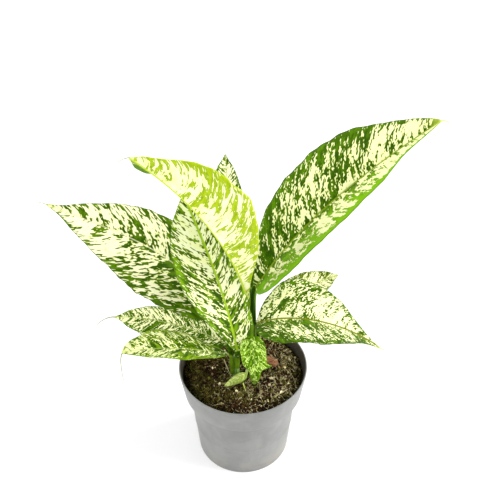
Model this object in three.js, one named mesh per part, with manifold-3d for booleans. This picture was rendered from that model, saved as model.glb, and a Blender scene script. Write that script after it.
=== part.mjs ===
// Potted dieffenbachia: two leafy shoots in a tapered plastic nursery pot, in millimetres, +Z up.
//
// The origin is the middle of the pot's underside, and -Y is the front of the plant. Each leaf is one solid:
// its sheath clasps the cane, the half-round petiole bends out of it, and the midrib carries the blade.

import * as THREE from 'three';
import { mergeVertices } from 'three/addons/utils/BufferGeometryUtils.js';
import Module from 'manifold-3d';

const wasm = await Module();
wasm.setup();

// ---------------------------------------------------------------- driving dimensions

const CLEARANCE = 0.3; // between two pieces that touch
const DEGREE = Math.PI / 180;
const FULL_TURN = 2 * Math.PI;

const POT = {
  height: 108,
  rimRadius: 60.5, // outside, at the top
  collarRadius: 56.2, // outside, at the collar's lower edge
  collarBottom: 80,
  bodyRadius: 50.4, // outside, under the shoulder below the collar
  bodyTop: 72,
  baseRadius: 44, // outside, above the rounded foot
  wall: 1.6,
  floor: 2.4,
  footRounding: 1.8,
  footWidth: 4.5, // flat ring that the pot stands on
  hubRadius: 18, // flat pad in the middle, level with the foot
  hollowDepth: 1.0, // recess between foot and hub
  segments: 48,
};
const DRAIN = { count: 8, radius: 3.5, circle: 29, segments: 10 };

const SOIL = {
  edgeHeight: 100, // where it meets the wall
  mound: 2.5, // higher round the stems
  bump: 0.9, // of each of the two crossing waves
  rings: [9, 19, 29, 39, 48],
  segments: 48,
};

// Canes stand upright in the soil; `x` and `y` are the places of their axes.
const CANES = {
  main: { name: 'cane_main', x: 8, y: 0, radius: 5, top: 150, internode: 12 },
  side: { name: 'cane_side_shoot', x: -6.5, y: -8.5, radius: 3.5, top: 132, internode: 9 },
};
const CANE = { bottom: 62, rootRadius: 0.8, nodeSwell: 0.35, budHeight: 7, segments: 14 };

const BLADE_THICKNESS = 0.7;
const RIB_TIP_RADIUS = 0.35;
const PETIOLE_STATIONS = 6;

// A leaf's `socket` is where its sheath leaves the cane (azimuth in degrees, height in mm). `rib` gives four
// points of the midrib at even steps from blade base to tip, and `face` the way its upper side looks.
// `half`, `belly`, `fold` and `curl` hold the left and the right half: its greatest width, the place of that
// between base 0 and tip 1, the angle in degrees between the half and the flat, and how far it bends on
// towards the margin. `taper` is how fast the blade narrows to its tip.
const LEAVES = [
  {
    name: 'leaf_large_right', cane: 'main', socket: { azimuth: 72, height: 128 }, petiole: 2.3,
    rib: [[12, 6, 202], [53, 16, 262], [103, 26, 312], [159, 30, 361]], face: [-0.5, -0.5, 0.7],
    half: [42, 42], belly: [0.47, 0.47], taper: 0.85, fold: [24, 38], curl: [-6, 0], wave: 2, waves: 3,
    stations: 18, strips: 3,
  },
  {
    name: 'leaf_new_folded', cane: 'main', socket: { azimuth: 196, height: 134 }, petiole: 2.1,
    rib: [[4, -8, 203], [-15, -35, 285], [-46, -44, 342], [-82, -40, 375]], face: [0.5, 0.75, 0.35],
    half: [38, 36], belly: [0.5, 0.5], taper: 1.2, fold: [50, 78], curl: [-10, -10], wave: 1.5, waves: 4,
    stations: 18, strips: 3,
  },
  {
    name: 'leaf_back_upright', cane: 'main', socket: { azimuth: 138, height: 122 }, petiole: 1.9,
    rib: [[3, 16, 192], [-8, 50, 220], [-14, 85, 248], [-16, 110, 272]], face: [0.1, -0.6, 0.8],
    half: [20, 20], belly: [0.42, 0.42], taper: 0.9, fold: [18, 18], curl: [0, 0], wave: 1.5, waves: 3,
    stations: 14, strips: 2,
  },
  {
    name: 'leaf_centre_front', cane: 'side', socket: { azimuth: 286, height: 117 }, petiole: 2,
    rib: [[-5, -16, 144], [-17, -14, 212], [-32, -8, 266], [-47, 0, 310]], face: [0.35, -0.85, 0.4],
    half: [31, 16], belly: [0.55, 0.2], taper: 0.9, fold: [8, 16], curl: [-10, 0], wave: 1.5, waves: 3,
    stations: 18, strips: 3,
  },
  {
    name: 'leaf_large_left', cane: 'side', socket: { azimuth: 85, height: 118 }, petiole: 1.9,
    rib: [[-13, 0, 170], [-59, 10, 226], [-106, 18, 255], [-164, 18, 286]], face: [0.35, -0.55, 0.76],
    half: [40, 33], belly: [0.4, 0.4], taper: 1.1, fold: [8, 34], curl: [-8, -6], wave: 2, waves: 3,
    stations: 18, strips: 3,
  },
  {
    name: 'leaf_left_lower_back', cane: 'side', socket: { azimuth: 152, height: 112 }, petiole: 1.6,
    rib: [[-15, -5, 141], [-51, 8, 147], [-90, 15, 149], [-126, 18, 146]], face: [0, -0.4, 0.9],
    half: [19, 14], belly: [0.45, 0.45], taper: 1, fold: [12, 12], curl: [-20, -10], wave: 1.5, waves: 3,
    stations: 14, strips: 2,
  },
  {
    name: 'leaf_left_lower_front', cane: 'side', socket: { azimuth: 216, height: 107 }, petiole: 1.6,
    rib: [[-13, -18, 142], [-42, -28, 158], [-74, -34, 166], [-106, -36, 163]], face: [0, -0.1, 0.99],
    half: [16, 23], belly: [0.5, 0.5], taper: 1, fold: [30, 10], curl: [-20, -20], wave: 1.5, waves: 3,
    stations: 14, strips: 2,
  },
  {
    name: 'leaf_right_lower', cane: 'main', socket: { azimuth: -45, height: 114 }, petiole: 2.1,
    rib: [[15, -6, 171], [47, -8, 179], [86, -8, 167], [125, -12, 143]], face: [0, -0.1, 0.99],
    half: [34, 34], belly: [0.36, 0.36], taper: 1.4, fold: [36, 28], curl: [0, -10], wave: 2, waves: 3,
    stations: 16, strips: 3,
  },
  {
    name: 'leaf_right_small_back', cane: 'main', socket: { azimuth: 11, height: 108 }, petiole: 1.5,
    rib: [[18, 12, 164], [42, 36, 164], [67, 52, 164], [90, 58, 169]], face: [0, -0.4, 0.9],
    half: [13, 15], belly: [0.5, 0.5], taper: 0.9, fold: [12, 12], curl: [-10, -10], wave: 1, waves: 3,
    stations: 12, strips: 2,
  },
  {
    name: 'leaf_front_small', cane: 'main', socket: { azimuth: 262, height: 112 }, petiole: 1.5,
    rib: [[7, -14, 150], [9, -24, 148], [11, -30, 135], [10, -27, 111]], face: [0, -0.8, 0.6],
    half: [11, 9], belly: [0.4, 0.4], taper: 0.9, fold: [10, 10], curl: [-20, -20], wave: 1, waves: 2,
    stations: 12, strips: 2,
  },
  {
    name: 'cataphyll', cane: 'main', socket: { azimuth: 232, height: 105 }, petiole: 1,
    rib: [[3, -9, 109], [-2, -16, 111], [-9, -21, 109], [-17, -24, 105]], face: [0, -0.5, 0.86],
    half: [4, 3.6], belly: [0.4, 0.4], taper: 0.8, fold: [10, 10], curl: [-40, -40], wave: 0, waves: 2,
    stations: 8, strips: 2,
  },
];
const SHEATH = { wing: 0.9, curlShare: 0.85, riseShare: 0.5, leanShare: 0.12 };

const BARK = { x: 26.5, y: 9, length: 17, width: 9, thickness: 3.5, turn: 12 };
const STRAW = { x: 33, y: -29, length: 15, width: 1.3, turn: 24, sides: 6 };

// ---------------------------------------------------------------- finishes

const FINISH = {
  plastic: { color: 0x9a9b96, roughness: 0.48, metalness: 0 },
  soil: { color: 0x3a2b20, roughness: 0.98, metalness: 0 },
  cane: { color: 0x55763a, roughness: 0.6, metalness: 0 },
  leaf: { color: 0x7f9c4c, roughness: 0.42, metalness: 0 },
  newLeaf: { color: 0xb4cc5a, roughness: 0.42, metalness: 0 },
  bark: { color: 0x7a4a32, roughness: 0.9, metalness: 0 },
  straw: { color: 0xb09a6a, roughness: 0.8, metalness: 0 },
};

// ---------------------------------------------------------------- helpers

const lerp = THREE.MathUtils.lerp;
const ease = (t) => THREE.MathUtils.smoothstep(t, 0, 1);
const vector = (p) => new THREE.Vector3(...p);

function piece(name, geometry, finish) {
  const mesh = new THREE.Mesh(geometry, new THREE.MeshStandardMaterial(finish));
  mesh.name = name;
  return mesh;
}

// One closed body: corners shared, no zero-width triangles, faces pointing out.
function closedBody(geometry) {
  const bare = new THREE.BufferGeometry();
  bare.setAttribute('position', geometry.getAttribute('position'));
  bare.setIndex(geometry.getIndex());
  const merged = mergeVertices(bare, 1e-4);
  const corners = merged.getIndex().array;
  const at = (i) => new THREE.Vector3().fromBufferAttribute(merged.getAttribute('position'), i);
  const kept = [];
  let volume = 0;
  for (let i = 0; i < corners.length; i += 3) {
    const [a, b, c] = corners.slice(i, i + 3);
    if (a === b || b === c || c === a) continue;
    kept.push([a, b, c]);
    volume += at(a).dot(at(b).cross(at(c)));
  }
  merged.setIndex(kept.flatMap(([a, b, c]) => (volume > 0 ? [a, b, c] : [a, c, b])));
  return merged;
}

function toSolid(geometry) {
  const body = closedBody(geometry);
  const vertProperties = new Float32Array(body.getAttribute('position').array);
  const triVerts = new Uint32Array(body.getIndex().array);
  return new wasm.Manifold(new wasm.Mesh({ numProp: 3, vertProperties, triVerts }));
}

function fromSolid(solid) {
  const { vertProperties, triVerts } = solid.getMesh();
  const geometry = new THREE.BufferGeometry();
  geometry.setAttribute('position', new THREE.BufferAttribute(vertProperties, 3));
  geometry.setIndex(new THREE.BufferAttribute(triVerts, 1));
  return geometry;
}

// A turned body about +Z from [radius, height] pairs that start and end on the axis.
function turned(profile, segments) {
  const points = profile.map(([radius, height]) => new THREE.Vector2(radius, height));
  return new THREE.LatheGeometry(points, segments).rotateX(Math.PI / 2);
}

function upright(radius, bottom, top, segments, x = 0, y = 0) {
  const rod = new THREE.CylinderGeometry(radius, radius, top - bottom, segments).rotateX(Math.PI / 2);
  return rod.translate(x, y, (top + bottom) / 2);
}

// ---------------------------------------------------------------- pot and soil

// The pot's inner wall from floor to rim, as [radius, height]: the outer wall less its thickness, with the
// shoulder a little higher so that it stays as thick there.
const INNER_WALL = [
  [POT.baseRadius - POT.wall, 0],
  [POT.bodyRadius - POT.wall, POT.bodyTop + 1],
  [POT.collarRadius - POT.wall, POT.collarBottom + 1],
  [POT.rimRadius - POT.wall, POT.height],
];

// Inside radius of the pot at a height between its underside and its rim.
function potInside(height) {
  const upper = INNER_WALL.findIndex(([, top], i) => i > 0 && height <= top);
  const [[lowRadius, low], [highRadius, high]] = [INNER_WALL[upper - 1], INNER_WALL[upper]];
  return lerp(lowRadius, highRadius, (height - low) / (high - low));
}

function makePot() {
  const hollowOuter = POT.baseRadius - POT.footWidth;
  const foot = [0, 45, 90].map((angle) => [
    POT.baseRadius - POT.footRounding * (1 - Math.sin(angle * DEGREE)),
    POT.footRounding * (1 - Math.cos(angle * DEGREE)),
  ]);
  const outside = [
    [0, 0],
    [POT.hubRadius, 0],
    [POT.hubRadius + 1, POT.hollowDepth],
    [hollowOuter - 1, POT.hollowDepth],
    [hollowOuter, 0],
    ...foot,
    [POT.bodyRadius, POT.bodyTop],
    [POT.collarRadius, POT.collarBottom],
    [POT.rimRadius, POT.height - 0.6],
  ];
  const inside = [
    [POT.rimRadius - 0.6, POT.height],
    [POT.rimRadius - POT.wall, POT.height - 0.2],
    INNER_WALL[2],
    INNER_WALL[1],
    [potInside(POT.floor), POT.floor],
    [0, POT.floor],
  ];
  const shell = toSolid(turned([...outside, ...inside], POT.segments));
  const holes = Array.from({ length: DRAIN.count }, (_, i) => {
    const angle = (i * FULL_TURN) / DRAIN.count;
    const [x, y] = [DRAIN.circle * Math.cos(angle), DRAIN.circle * Math.sin(angle)];
    return toSolid(upright(DRAIN.radius, -1, POT.floor + 1, DRAIN.segments, x, y));
  });
  const drained = holes.reduce((body, hole) => body.subtract(hole), shell);
  return piece('pot', fromSolid(drained), FINISH.plastic);
}

// Height of the soil's surface: a low mound with two crossing waves, calm at the pot's wall.
function soilHeight(x, y) {
  const out = Math.min(Math.hypot(x, y) / potInside(SOIL.edgeHeight), 1);
  const waves = Math.sin(x / 5.2 + 1) * Math.cos(y / 6.1) + Math.sin((x + y) / 9.3) * Math.cos((x - y) / 7.7);
  return SOIL.edgeHeight + (1 - out * out) * (SOIL.mound + SOIL.bump * waves);
}

function makeSoil() {
  const wall = (height) => [potInside(height) - CLEARANCE, height];
  const profile = [
    [0, POT.floor + CLEARANCE],
    wall(POT.floor + CLEARANCE),
    wall(INNER_WALL[1][1]),
    wall(INNER_WALL[2][1]),
    wall(SOIL.edgeHeight),
    ...SOIL.rings.toReversed().map((radius) => [radius, SOIL.edgeHeight]),
    [0, SOIL.edgeHeight],
  ];
  const geometry = turned(profile, SOIL.segments);
  const place = geometry.getAttribute('position');
  for (let i = 0; i < place.count; i += 1) {
    if (place.getZ(i) > SOIL.edgeHeight - 0.01) place.setZ(i, soilHeight(place.getX(i), place.getY(i)));
  }
  const holes = Object.values(CANES).map((cane) => {
    const radius = cane.radius + CLEARANCE + CANE.nodeSwell;
    return toSolid(upright(radius, CANE.bottom - CLEARANCE, POT.height, CANE.segments, cane.x, cane.y));
  });
  const planted = holes.reduce((body, hole) => body.subtract(hole), toSolid(geometry));
  return piece('soil', fromSolid(planted), FINISH.soil);
}

// ---------------------------------------------------------------- canes

// A cane swells a little at each node, where a leaf sat, and ends in a bud.
function makeCane(cane) {
  const shoulder = cane.top - CANE.budHeight;
  const profile = [[0, CANE.bottom], [cane.radius * CANE.rootRadius, CANE.bottom]];
  for (let height = CANE.bottom + cane.internode; height < shoulder; height += cane.internode) {
    profile.push([cane.radius, height - 1.5]);
    profile.push([cane.radius + CANE.nodeSwell, height]);
    profile.push([cane.radius, height + 1.5]);
  }
  profile.push([cane.radius * 0.9, shoulder]);
  profile.push([cane.radius * 0.55, cane.top - CANE.budHeight * 0.35]);
  profile.push([0, cane.top]);
  const mesh = piece(cane.name, closedBody(turned(profile, CANE.segments)), FINISH.cane);
  mesh.position.set(cane.x, cane.y, 0);
  return mesh;
}

// ---------------------------------------------------------------- leaves

// The cubic curve that passes through four points at 0, 1/3, 2/3 and 1.
function curveThrough([a, b, c, d]) {
  const first = a.clone().multiplyScalar(-5 / 6).addScaledVector(b, 3).addScaledVector(c, -1.5);
  const second = a.clone().multiplyScalar(1 / 3).addScaledVector(b, -1.5).addScaledVector(c, 3);
  first.addScaledVector(d, 1 / 3);
  second.addScaledVector(d, -5 / 6);
  return new THREE.CubicBezierCurve3(a, first, second, d);
}

// The petiole climbs out of its sheath beside the cane and bends into the line of the midrib.
function petioleCurve(leaf, rib) {
  const cane = CANES[leaf.cane];
  const reach = cane.radius + CANE.nodeSwell + CLEARANCE + BLADE_THICKNESS / 2;
  const angle = leaf.socket.azimuth * DEGREE;
  const outward = new THREE.Vector3(Math.cos(angle), Math.sin(angle), 0);
  const start = outward.clone().multiplyScalar(reach);
  start.add(new THREE.Vector3(cane.x, cane.y, leaf.socket.height));
  const end = rib.getPoint(0);
  const span = start.distanceTo(end);
  const curve = new THREE.CubicBezierCurve3(
    start,
    start.clone().add(new THREE.Vector3(0, 0, span * SHEATH.riseShare)),
    end.clone().addScaledVector(rib.getTangent(0), -span * SHEATH.leanShare),
    end,
  );
  return { curve, inward: outward.negate(), caneReach: reach };
}

// Share of the full half width at t along the blade: nothing at base and tip, 1 at the belly.
function bladeOutline(t, belly, taper) {
  if (t <= 0 || t >= 1) return 0;
  const swell = (taper * belly) / (1 - belly);
  return (t / belly) ** swell * ((1 - t) / (1 - belly)) ** taper;
}

// The leaf's sections from sheath to tip: a place on the axis, its directions, and the shape of both halves.
function leafSections(leaf) {
  const rib = curveThrough(leaf.rib.map(vector));
  const { curve, inward, caneReach } = petioleCurve(leaf, rib);
  const face = vector(leaf.face);
  const widest = Math.max(...leaf.half);
  const sections = [];
  for (let i = 0; i < PETIOLE_STATIONS; i += 1) {
    const t = i / PETIOLE_STATIONS;
    const core = lerp(leaf.petiole, leaf.petiole * 0.8, t);
    const width = core + lerp(SHEATH.wing * (leaf.petiole / 2.4), 0.6, ease(t));
    const clasp = (SHEATH.curlShare * width) / caneReach / DEGREE;
    sections.push({
      place: curve.getPoint(t),
      along: curve.getTangent(t),
      facing: inward.clone().lerp(face, ease(t)),
      core,
      halves: [0, 1].map((side) => ({
        width,
        fold: lerp(0, leaf.fold[side], ease(t)) * DEGREE,
        curl: lerp(clasp, leaf.curl[side], ease(t)) * DEGREE,
        lift: 0,
      })),
    });
  }
  for (let i = 0; i <= leaf.stations; i += 1) {
    const t = Math.min(i / leaf.stations, 0.99);
    const core = lerp(leaf.petiole * 0.8, RIB_TIP_RADIUS, t ** 0.6);
    const outlines = leaf.belly.map((belly) => bladeOutline(t, belly, leaf.taper));
    sections.push({
      place: rib.getPoint(t),
      along: rib.getTangent(t),
      facing: face,
      core,
      halves: [0, 1].map((side) => ({
        width: core + 0.6 + leaf.half[side] * outlines[side],
        fold: leaf.fold[side] * DEGREE,
        curl: leaf.curl[side] * DEGREE,
        lift: ((leaf.wave * leaf.half[side]) / widest) * outlines[side]
          * Math.sin(FULL_TURN * leaf.waves * t + (side ? 0.9 : 2.3)),
      })),
    });
  }
  return sections;
}

// A point of a section: `distance` mm from the midrib over the curled half, raised off its middle plane.
function sectionPoint(section, side, distance, raised) {
  const { width, fold, curl, lift } = section.halves[side];
  const share = distance / width;
  const angle = fold + curl * share;
  const straight = Math.abs(curl) < 1e-4;
  const across = straight ? distance * Math.cos(fold) : (width * (Math.sin(angle) - Math.sin(fold))) / curl;
  const up = straight ? distance * Math.sin(fold) : (width * (Math.cos(fold) - Math.cos(angle))) / curl;
  const right = section.along.clone().cross(section.facing).normalize();
  const normal = right.clone().cross(section.along).normalize();
  const sign = side ? 1 : -1;
  return section.place.clone()
    .addScaledVector(right, sign * (across - raised * Math.sin(angle)))
    .addScaledVector(normal, up + lift * share * share + raised * Math.cos(angle));
}

// Ring of points round a section: over the top from left margin to right, and back under the keel.
function sectionRing(section, strips) {
  const { core } = section;
  const thin = BLADE_THICKNESS / 2;
  const distances = (side) => Array.from({ length: strips }, (_, i) => (
    lerp(core, section.halves[side].width, i / (strips - 1))
  ));
  const blade = (side, raised) => distances(side).map((d) => sectionPoint(section, side, d, raised));
  const keel = (side) => sectionPoint(section, side, core * 0.6, -(thin + core * 0.8));
  return [
    ...blade(0, thin).toReversed(),
    sectionPoint(section, 1, 0, thin),
    ...blade(1, thin),
    ...blade(1, -thin).toReversed(),
    keel(1),
    sectionPoint(section, 1, 0, -(thin + core)),
    keel(0),
    ...blade(0, -thin),
  ];
}

// Skin over the rings, with the diagonals of the under side matching those of the top, and both ends closed.
function loftLeaf(leaf) {
  const sections = leafSections(leaf);
  const rings = sections.map((section) => sectionRing(section, leaf.strips));
  const size = rings[0].length;
  const topQuads = 2 * leaf.strips;
  const triangles = [];
  for (let i = 0; i + 1 < rings.length; i += 1) {
    for (let j = 0; j < size; j += 1) {
      const [a, b] = [i * size + j, i * size + ((j + 1) % size)];
      const [c, d] = [a + size, b + size];
      const onTop = j < topQuads;
      triangles.push(...(onTop ? [a, b, d, a, d, c] : [a, b, c, b, d, c]));
    }
  }
  const points = rings.flat();
  const closeEnd = (first, section, flip) => {
    points.push(section.place.clone());
    const hub = points.length - 1;
    for (let j = 0; j < size; j += 1) {
      const [a, b] = [first + j, first + ((j + 1) % size)];
      triangles.push(...(flip ? [hub, a, b] : [hub, b, a]));
    }
  };
  closeEnd(0, sections[0], false);
  closeEnd((rings.length - 1) * size, sections.at(-1), true);
  const geometry = new THREE.BufferGeometry().setFromPoints(points);
  geometry.setIndex(triangles);
  return closedBody(geometry);
}

function makeLeaf(leaf) {
  const finish = leaf.name === 'leaf_new_folded' || leaf.name === 'cataphyll' ? FINISH.newLeaf : FINISH.leaf;
  return piece(leaf.name, loftLeaf(leaf), finish);
}

// ---------------------------------------------------------------- litter on the soil

// A flake of bark: an uneven hexagon, thinner than it is wide.
function makeBark() {
  const outline = new THREE.Shape();
  const corners = [[-0.5, -0.1], [-0.3, -0.5], [0.25, -0.42], [0.5, 0.05], [0.3, 0.5], [-0.28, 0.38]];
  outline.setFromPoints(corners.map(([x, y]) => new THREE.Vector2(x * BARK.length, y * BARK.width)));
  const bevel = 0.6;
  const flake = new THREE.ExtrudeGeometry(outline, {
    depth: BARK.thickness - 2 * bevel, bevelEnabled: true, bevelSize: bevel, bevelOffset: -bevel,
    bevelThickness: bevel, bevelSegments: 1,
  });
  const mesh = piece('bark_chip', closedBody(flake), FINISH.bark);
  mesh.position.set(BARK.x, BARK.y, highestSoil(BARK) + bevel + CLEARANCE);
  mesh.rotation.z = BARK.turn * DEGREE;
  return mesh;
}

function makeStraw() {
  const radius = STRAW.width / 2;
  const stalk = new THREE.CylinderGeometry(radius, radius * 0.7, STRAW.length, STRAW.sides);
  const mesh = piece('dry_straw', closedBody(stalk.rotateZ(Math.PI / 2)), FINISH.straw);
  mesh.position.set(STRAW.x, STRAW.y, highestSoil(STRAW) + radius + CLEARANCE);
  mesh.rotation.z = STRAW.turn * DEGREE;
  return mesh;
}

// The highest soil under a loose piece, sampled over its footprint.
function highestSoil({ x, y, length, width, turn }) {
  const [cos, sin] = [Math.cos(turn * DEGREE), Math.sin(turn * DEGREE)];
  const steps = [-0.5, -0.25, 0, 0.25, 0.5];
  return Math.max(...steps.flatMap((u) => steps.map((v) => {
    const [along, across] = [u * length, v * width];
    return soilHeight(x + along * cos - across * sin, y + along * sin + across * cos);
  })));
}

// ---------------------------------------------------------------- the plant in its pot

const plant = new THREE.Group();
plant.add(makePot(), makeSoil());
plant.add(...Object.values(CANES).map(makeCane));
plant.add(...LEAVES.map(makeLeaf));
plant.add(makeBark(), makeStraw());

export default plant;
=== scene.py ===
"""Potted dieffenbachia: two leafy shoots with cream and green marbled leaves in a grey nursery pot.

Lengths are metres, +Z is up, the origin lies under the middle of the pot and -Y faces the viewer. Driving
sizes of the plant are written in millimetres and turned into metres by `MM`.
"""

from __future__ import annotations

import logging
import math
import random
from collections.abc import Callable, Iterable, Sequence
from dataclasses import dataclass, field
from enum import Enum
from typing import Any

import bmesh
import bpy
import numpy as np
from mathutils import Euler, Matrix, Vector, noise

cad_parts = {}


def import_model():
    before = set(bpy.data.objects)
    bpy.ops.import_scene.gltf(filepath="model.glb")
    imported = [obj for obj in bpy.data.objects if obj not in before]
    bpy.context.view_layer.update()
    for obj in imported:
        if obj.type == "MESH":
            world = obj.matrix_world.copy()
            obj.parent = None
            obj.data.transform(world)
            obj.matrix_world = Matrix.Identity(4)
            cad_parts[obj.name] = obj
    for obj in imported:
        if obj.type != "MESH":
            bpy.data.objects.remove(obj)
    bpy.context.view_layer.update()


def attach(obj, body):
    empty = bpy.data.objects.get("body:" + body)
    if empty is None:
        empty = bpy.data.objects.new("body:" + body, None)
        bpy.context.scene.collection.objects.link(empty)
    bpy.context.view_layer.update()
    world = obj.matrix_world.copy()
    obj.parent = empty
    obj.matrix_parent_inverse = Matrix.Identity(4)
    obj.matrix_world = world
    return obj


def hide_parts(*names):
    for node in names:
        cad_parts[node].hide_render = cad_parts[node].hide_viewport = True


LOG = logging.getLogger("dieffenbachia")
MM = 0.001
ROOT = "root"
VEIN_MAP = "veins"
BLADE_MAP = "blade"
UNDERSIDE = "underside"
TINT = "tint"
VEIN_UNIT = 0.1  # metres of leaf to one unit of the vein map
LEAST_BEND = 1e-3  # radians; a flatter section is bent by this much
FULL_TURN = 2 * math.pi

Colour = tuple[float, float, float]
Point = tuple[float, float, float]
Pair = tuple[float, float]


class Slot(Enum):
    """Names of the material slots."""

    POT = "pot_plastic"
    SOIL = "potting_soil"
    CANE = "green_cane"
    LEAF = "leaf_green"
    LIME_LEAF = "leaf_lime"
    SCALE_LEAF = "scale_leaf"
    BARK = "bark"
    STRAW = "straw"


# ---------------------------------------------------------------- shader nodes


class NodeSheet:
    """A shader node tree that is being filled in, one call to a node."""

    def __init__(self, tree: bpy.types.NodeTree) -> None:
        """Starts on the node tree that is to be filled."""
        self.tree = tree

    def feed(self, socket: bpy.types.NodeSocket, value: Any) -> None:
        """Links a socket to another, or sets its value.

        Args:
            socket: The input to feed.
            value: An output socket, a number, a vector or a colour.
        """
        if isinstance(value, bpy.types.NodeSocket):
            self.tree.links.new(value, socket)
        elif socket.type == "RGBA" and len(value) == 3:
            socket.default_value = (*value, 1.0)
        else:
            socket.default_value = value

    def add(self, kind: str, inputs: dict[str | int, Any] | None = None, **settings: Any) -> bpy.types.Node:
        """Adds one node.

        Args:
            kind: Blender's name for the node type.
            inputs: What feeds each input, by name or number.
            **settings: Properties of the node itself.

        Returns:
            The new node.
        """
        node = self.tree.nodes.new(kind)
        for name, value in settings.items():
            setattr(node, name, value)
        for name, value in (inputs or {}).items():
            self.feed(node.inputs[name], value)
        return node

    def math(self, operation: str, *values: Any) -> bpy.types.NodeSocket:
        """Adds a Math node over the values and returns its output."""
        return self.add("ShaderNodeMath", dict(enumerate(values)), operation=operation).outputs[0]

    def vector(self, operation: str, *values: Any) -> bpy.types.NodeSocket:
        """Adds a Vector Math node over the values and returns its vector."""
        return self.add("ShaderNodeVectorMath", dict(enumerate(values)), operation=operation).outputs[0]

    def join(self, *values: Any) -> bpy.types.NodeSocket:
        """Returns a vector of three values."""
        return self.add("ShaderNodeCombineXYZ", dict(enumerate(values))).outputs[0]

    def split(self, vector: Any) -> list[bpy.types.NodeSocket]:
        """Returns the three values of a vector."""
        return list(self.add("ShaderNodeSeparateXYZ", {0: vector}).outputs)

    def step(self, value: Any, low: float, high: float) -> bpy.types.NodeSocket:
        """Returns 0 below `low`, 1 above `high`, and a smooth rise between them."""
        inputs = {"Value": value, "From Min": low, "From Max": high}
        return self.add("ShaderNodeMapRange", inputs, interpolation_type="SMOOTHSTEP").outputs["Result"]

    def mix(self, share: Any, first: Any, second: Any, blend: str = "MIX") -> bpy.types.NodeSocket:
        """Mixes two colours.

        Args:
            share: Share of the second colour.
            first: The first colour.
            second: The second colour.
            blend: Blender's name for the way they blend.

        Returns:
            The mixed colour.
        """
        node = self.add("ShaderNodeMix", data_type="RGBA", blend_type=blend)
        for socket, value in zip((node.inputs[0], node.inputs[6], node.inputs[7]), (share, first, second)):
            self.feed(socket, value)
        return node.outputs[2]

    def tinge(self, base: Any, tint: Any, value: Any, low: float, high: float,
              strength: Any = 1.0) -> bpy.types.NodeSocket:
        """Returns the base, tinted where the value has gone from `low` to `high`."""
        return self.mix(self.math("MULTIPLY", self.step(value, low, high), strength), base, tint)

    def stretch(self, vector: Any, scale: Point, offset: Any = (0.0, 0.0, 0.0)) -> bpy.types.NodeSocket:
        """Returns the vector scaled by axis and moved by an offset, which may be a socket."""
        return self.vector("ADD", self.vector("MULTIPLY", vector, scale), offset)

    def noise(self, vector: Any, scale: float, detail: float = 2.0, rough: float = 0.5,
              bend: Any = 0.0) -> bpy.types.NodeSocket:
        """Returns a noise value between 0 and 1; `rough` weighs its octaves, `bend` distorts it."""
        inputs = {"Vector": vector, "Scale": scale, "Detail": detail, "Roughness": rough, "Distortion": bend}
        return self.add("ShaderNodeTexNoise", inputs).outputs[0]

    def object_place(self) -> bpy.types.NodeSocket:
        """Returns the place on the piece, in metres."""
        return self.add("ShaderNodeTexCoord").outputs["Object"]


class Surface(NodeSheet):
    """A kind of surface: a node group, with inputs that take each material's own values."""

    INPUTS: dict[str, Any]
    OUTPUTS = {"Color": "NodeSocketColor", "Roughness": "NodeSocketFloat", "Height": "NodeSocketFloat"}
    SOCKET_TYPES = {float: "NodeSocketFloat", tuple: "NodeSocketColor"}

    def __init__(self) -> None:
        """Builds the group."""
        super().__init__(bpy.data.node_groups.new(type(self).__name__, "ShaderNodeTree"))
        for label, default in self.INPUTS.items():
            kind = self.SOCKET_TYPES[type(default)]
            socket = self.tree.interface.new_socket(label, in_out="INPUT", socket_type=kind)
            socket.default_value = (*default, 1.0) if isinstance(default, tuple) else default
        for label, kind in self.OUTPUTS.items():
            self.tree.interface.new_socket(label, in_out="OUTPUT", socket_type=kind)
        self.use = self.add("NodeGroupInput").outputs
        self.add("NodeGroupOutput", self.paint())

    @classmethod
    def group(cls) -> bpy.types.NodeTree:
        """Returns the node group, which is built the first time that it is asked for."""
        return bpy.data.node_groups.get(cls.__name__) or cls().tree

    def paint(self) -> dict[str, Any]:
        """Adds the nodes and returns what feeds each output."""
        raise NotImplementedError


@dataclass(frozen=True)
class MarbledLook:
    """How a leaf is marbled; each field feeds the input of the same name of the leaf's node group.

    `across` and `along` above 1 make the blotches narrower and shorter, and `chunk` above 1 makes those of
    the right half wider and shorter. `share` is how much is cream, `tip` how much more of it there is towards
    the tip, `margin` how much less near the edge and `fleck` how ragged it is. `lightness` lightens all
    greens, `patches` some of them and `light_margin` those near the edge. `light_half` paints light onto the
    greens of the right half, and paints shade there when it is below zero. On that half `greener_half` takes
    cream away, and `green_rim` does so along its margin.
    """

    seed: float
    share: float = 0.5
    tip: float = 0.1
    margin: float = 0.14
    across: float = 1.0
    along: float = 1.0
    chunk: float = 1.0
    greener_half: float = 0.0
    green_rim: float = 0.0
    lightness: float = 0.0
    patches: float = 0.8
    # paints light onto the right half's greens, and paints shade there below zero
    light_half: float = 0.0
    light_margin: float = 0.25
    fleck: float = 0.38
    bend: float = 1.4
    rib_share: float = 0.6
    rib_width: float = 1.0
    underside: float = 0.3
    dark: Colour = (0.022, 0.072, 0.0005)
    light: Colour = (0.1, 0.22, 0.002)
    pale: Colour = (0.25, 0.38, 0.02)
    cream: Colour = (0.93, 0.93, 0.59)
    warm: Colour = (0.93, 0.88, 0.58)
    fringe: Colour = (0.68, 0.74, 0.2)
    rim: Colour = (0.04, 0.08, 0.004)
    rib: Colour = (0.4, 0.47, 0.13)
    tip_tint: Colour = (0.66, 0.76, 0.1)
    stalk: Colour = (0.018, 0.068, 0.001)

    def inputs(self) -> dict[str, Any]:
        """Returns the value of each input of the leaf's node group."""
        return {name.replace("_", " ").capitalize(): value for name, value in vars(self).items()}

    def material(self, name: str) -> bpy.types.Material:
        """Returns the built material of the leaf of that name."""
        return Material(f"marbled {name}", LeafMarbling, self.inputs(), bump_depth=0.0004,
                        specular=0.12, specular_tint=(1.0, 1.0, 0.35)).build()


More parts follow.
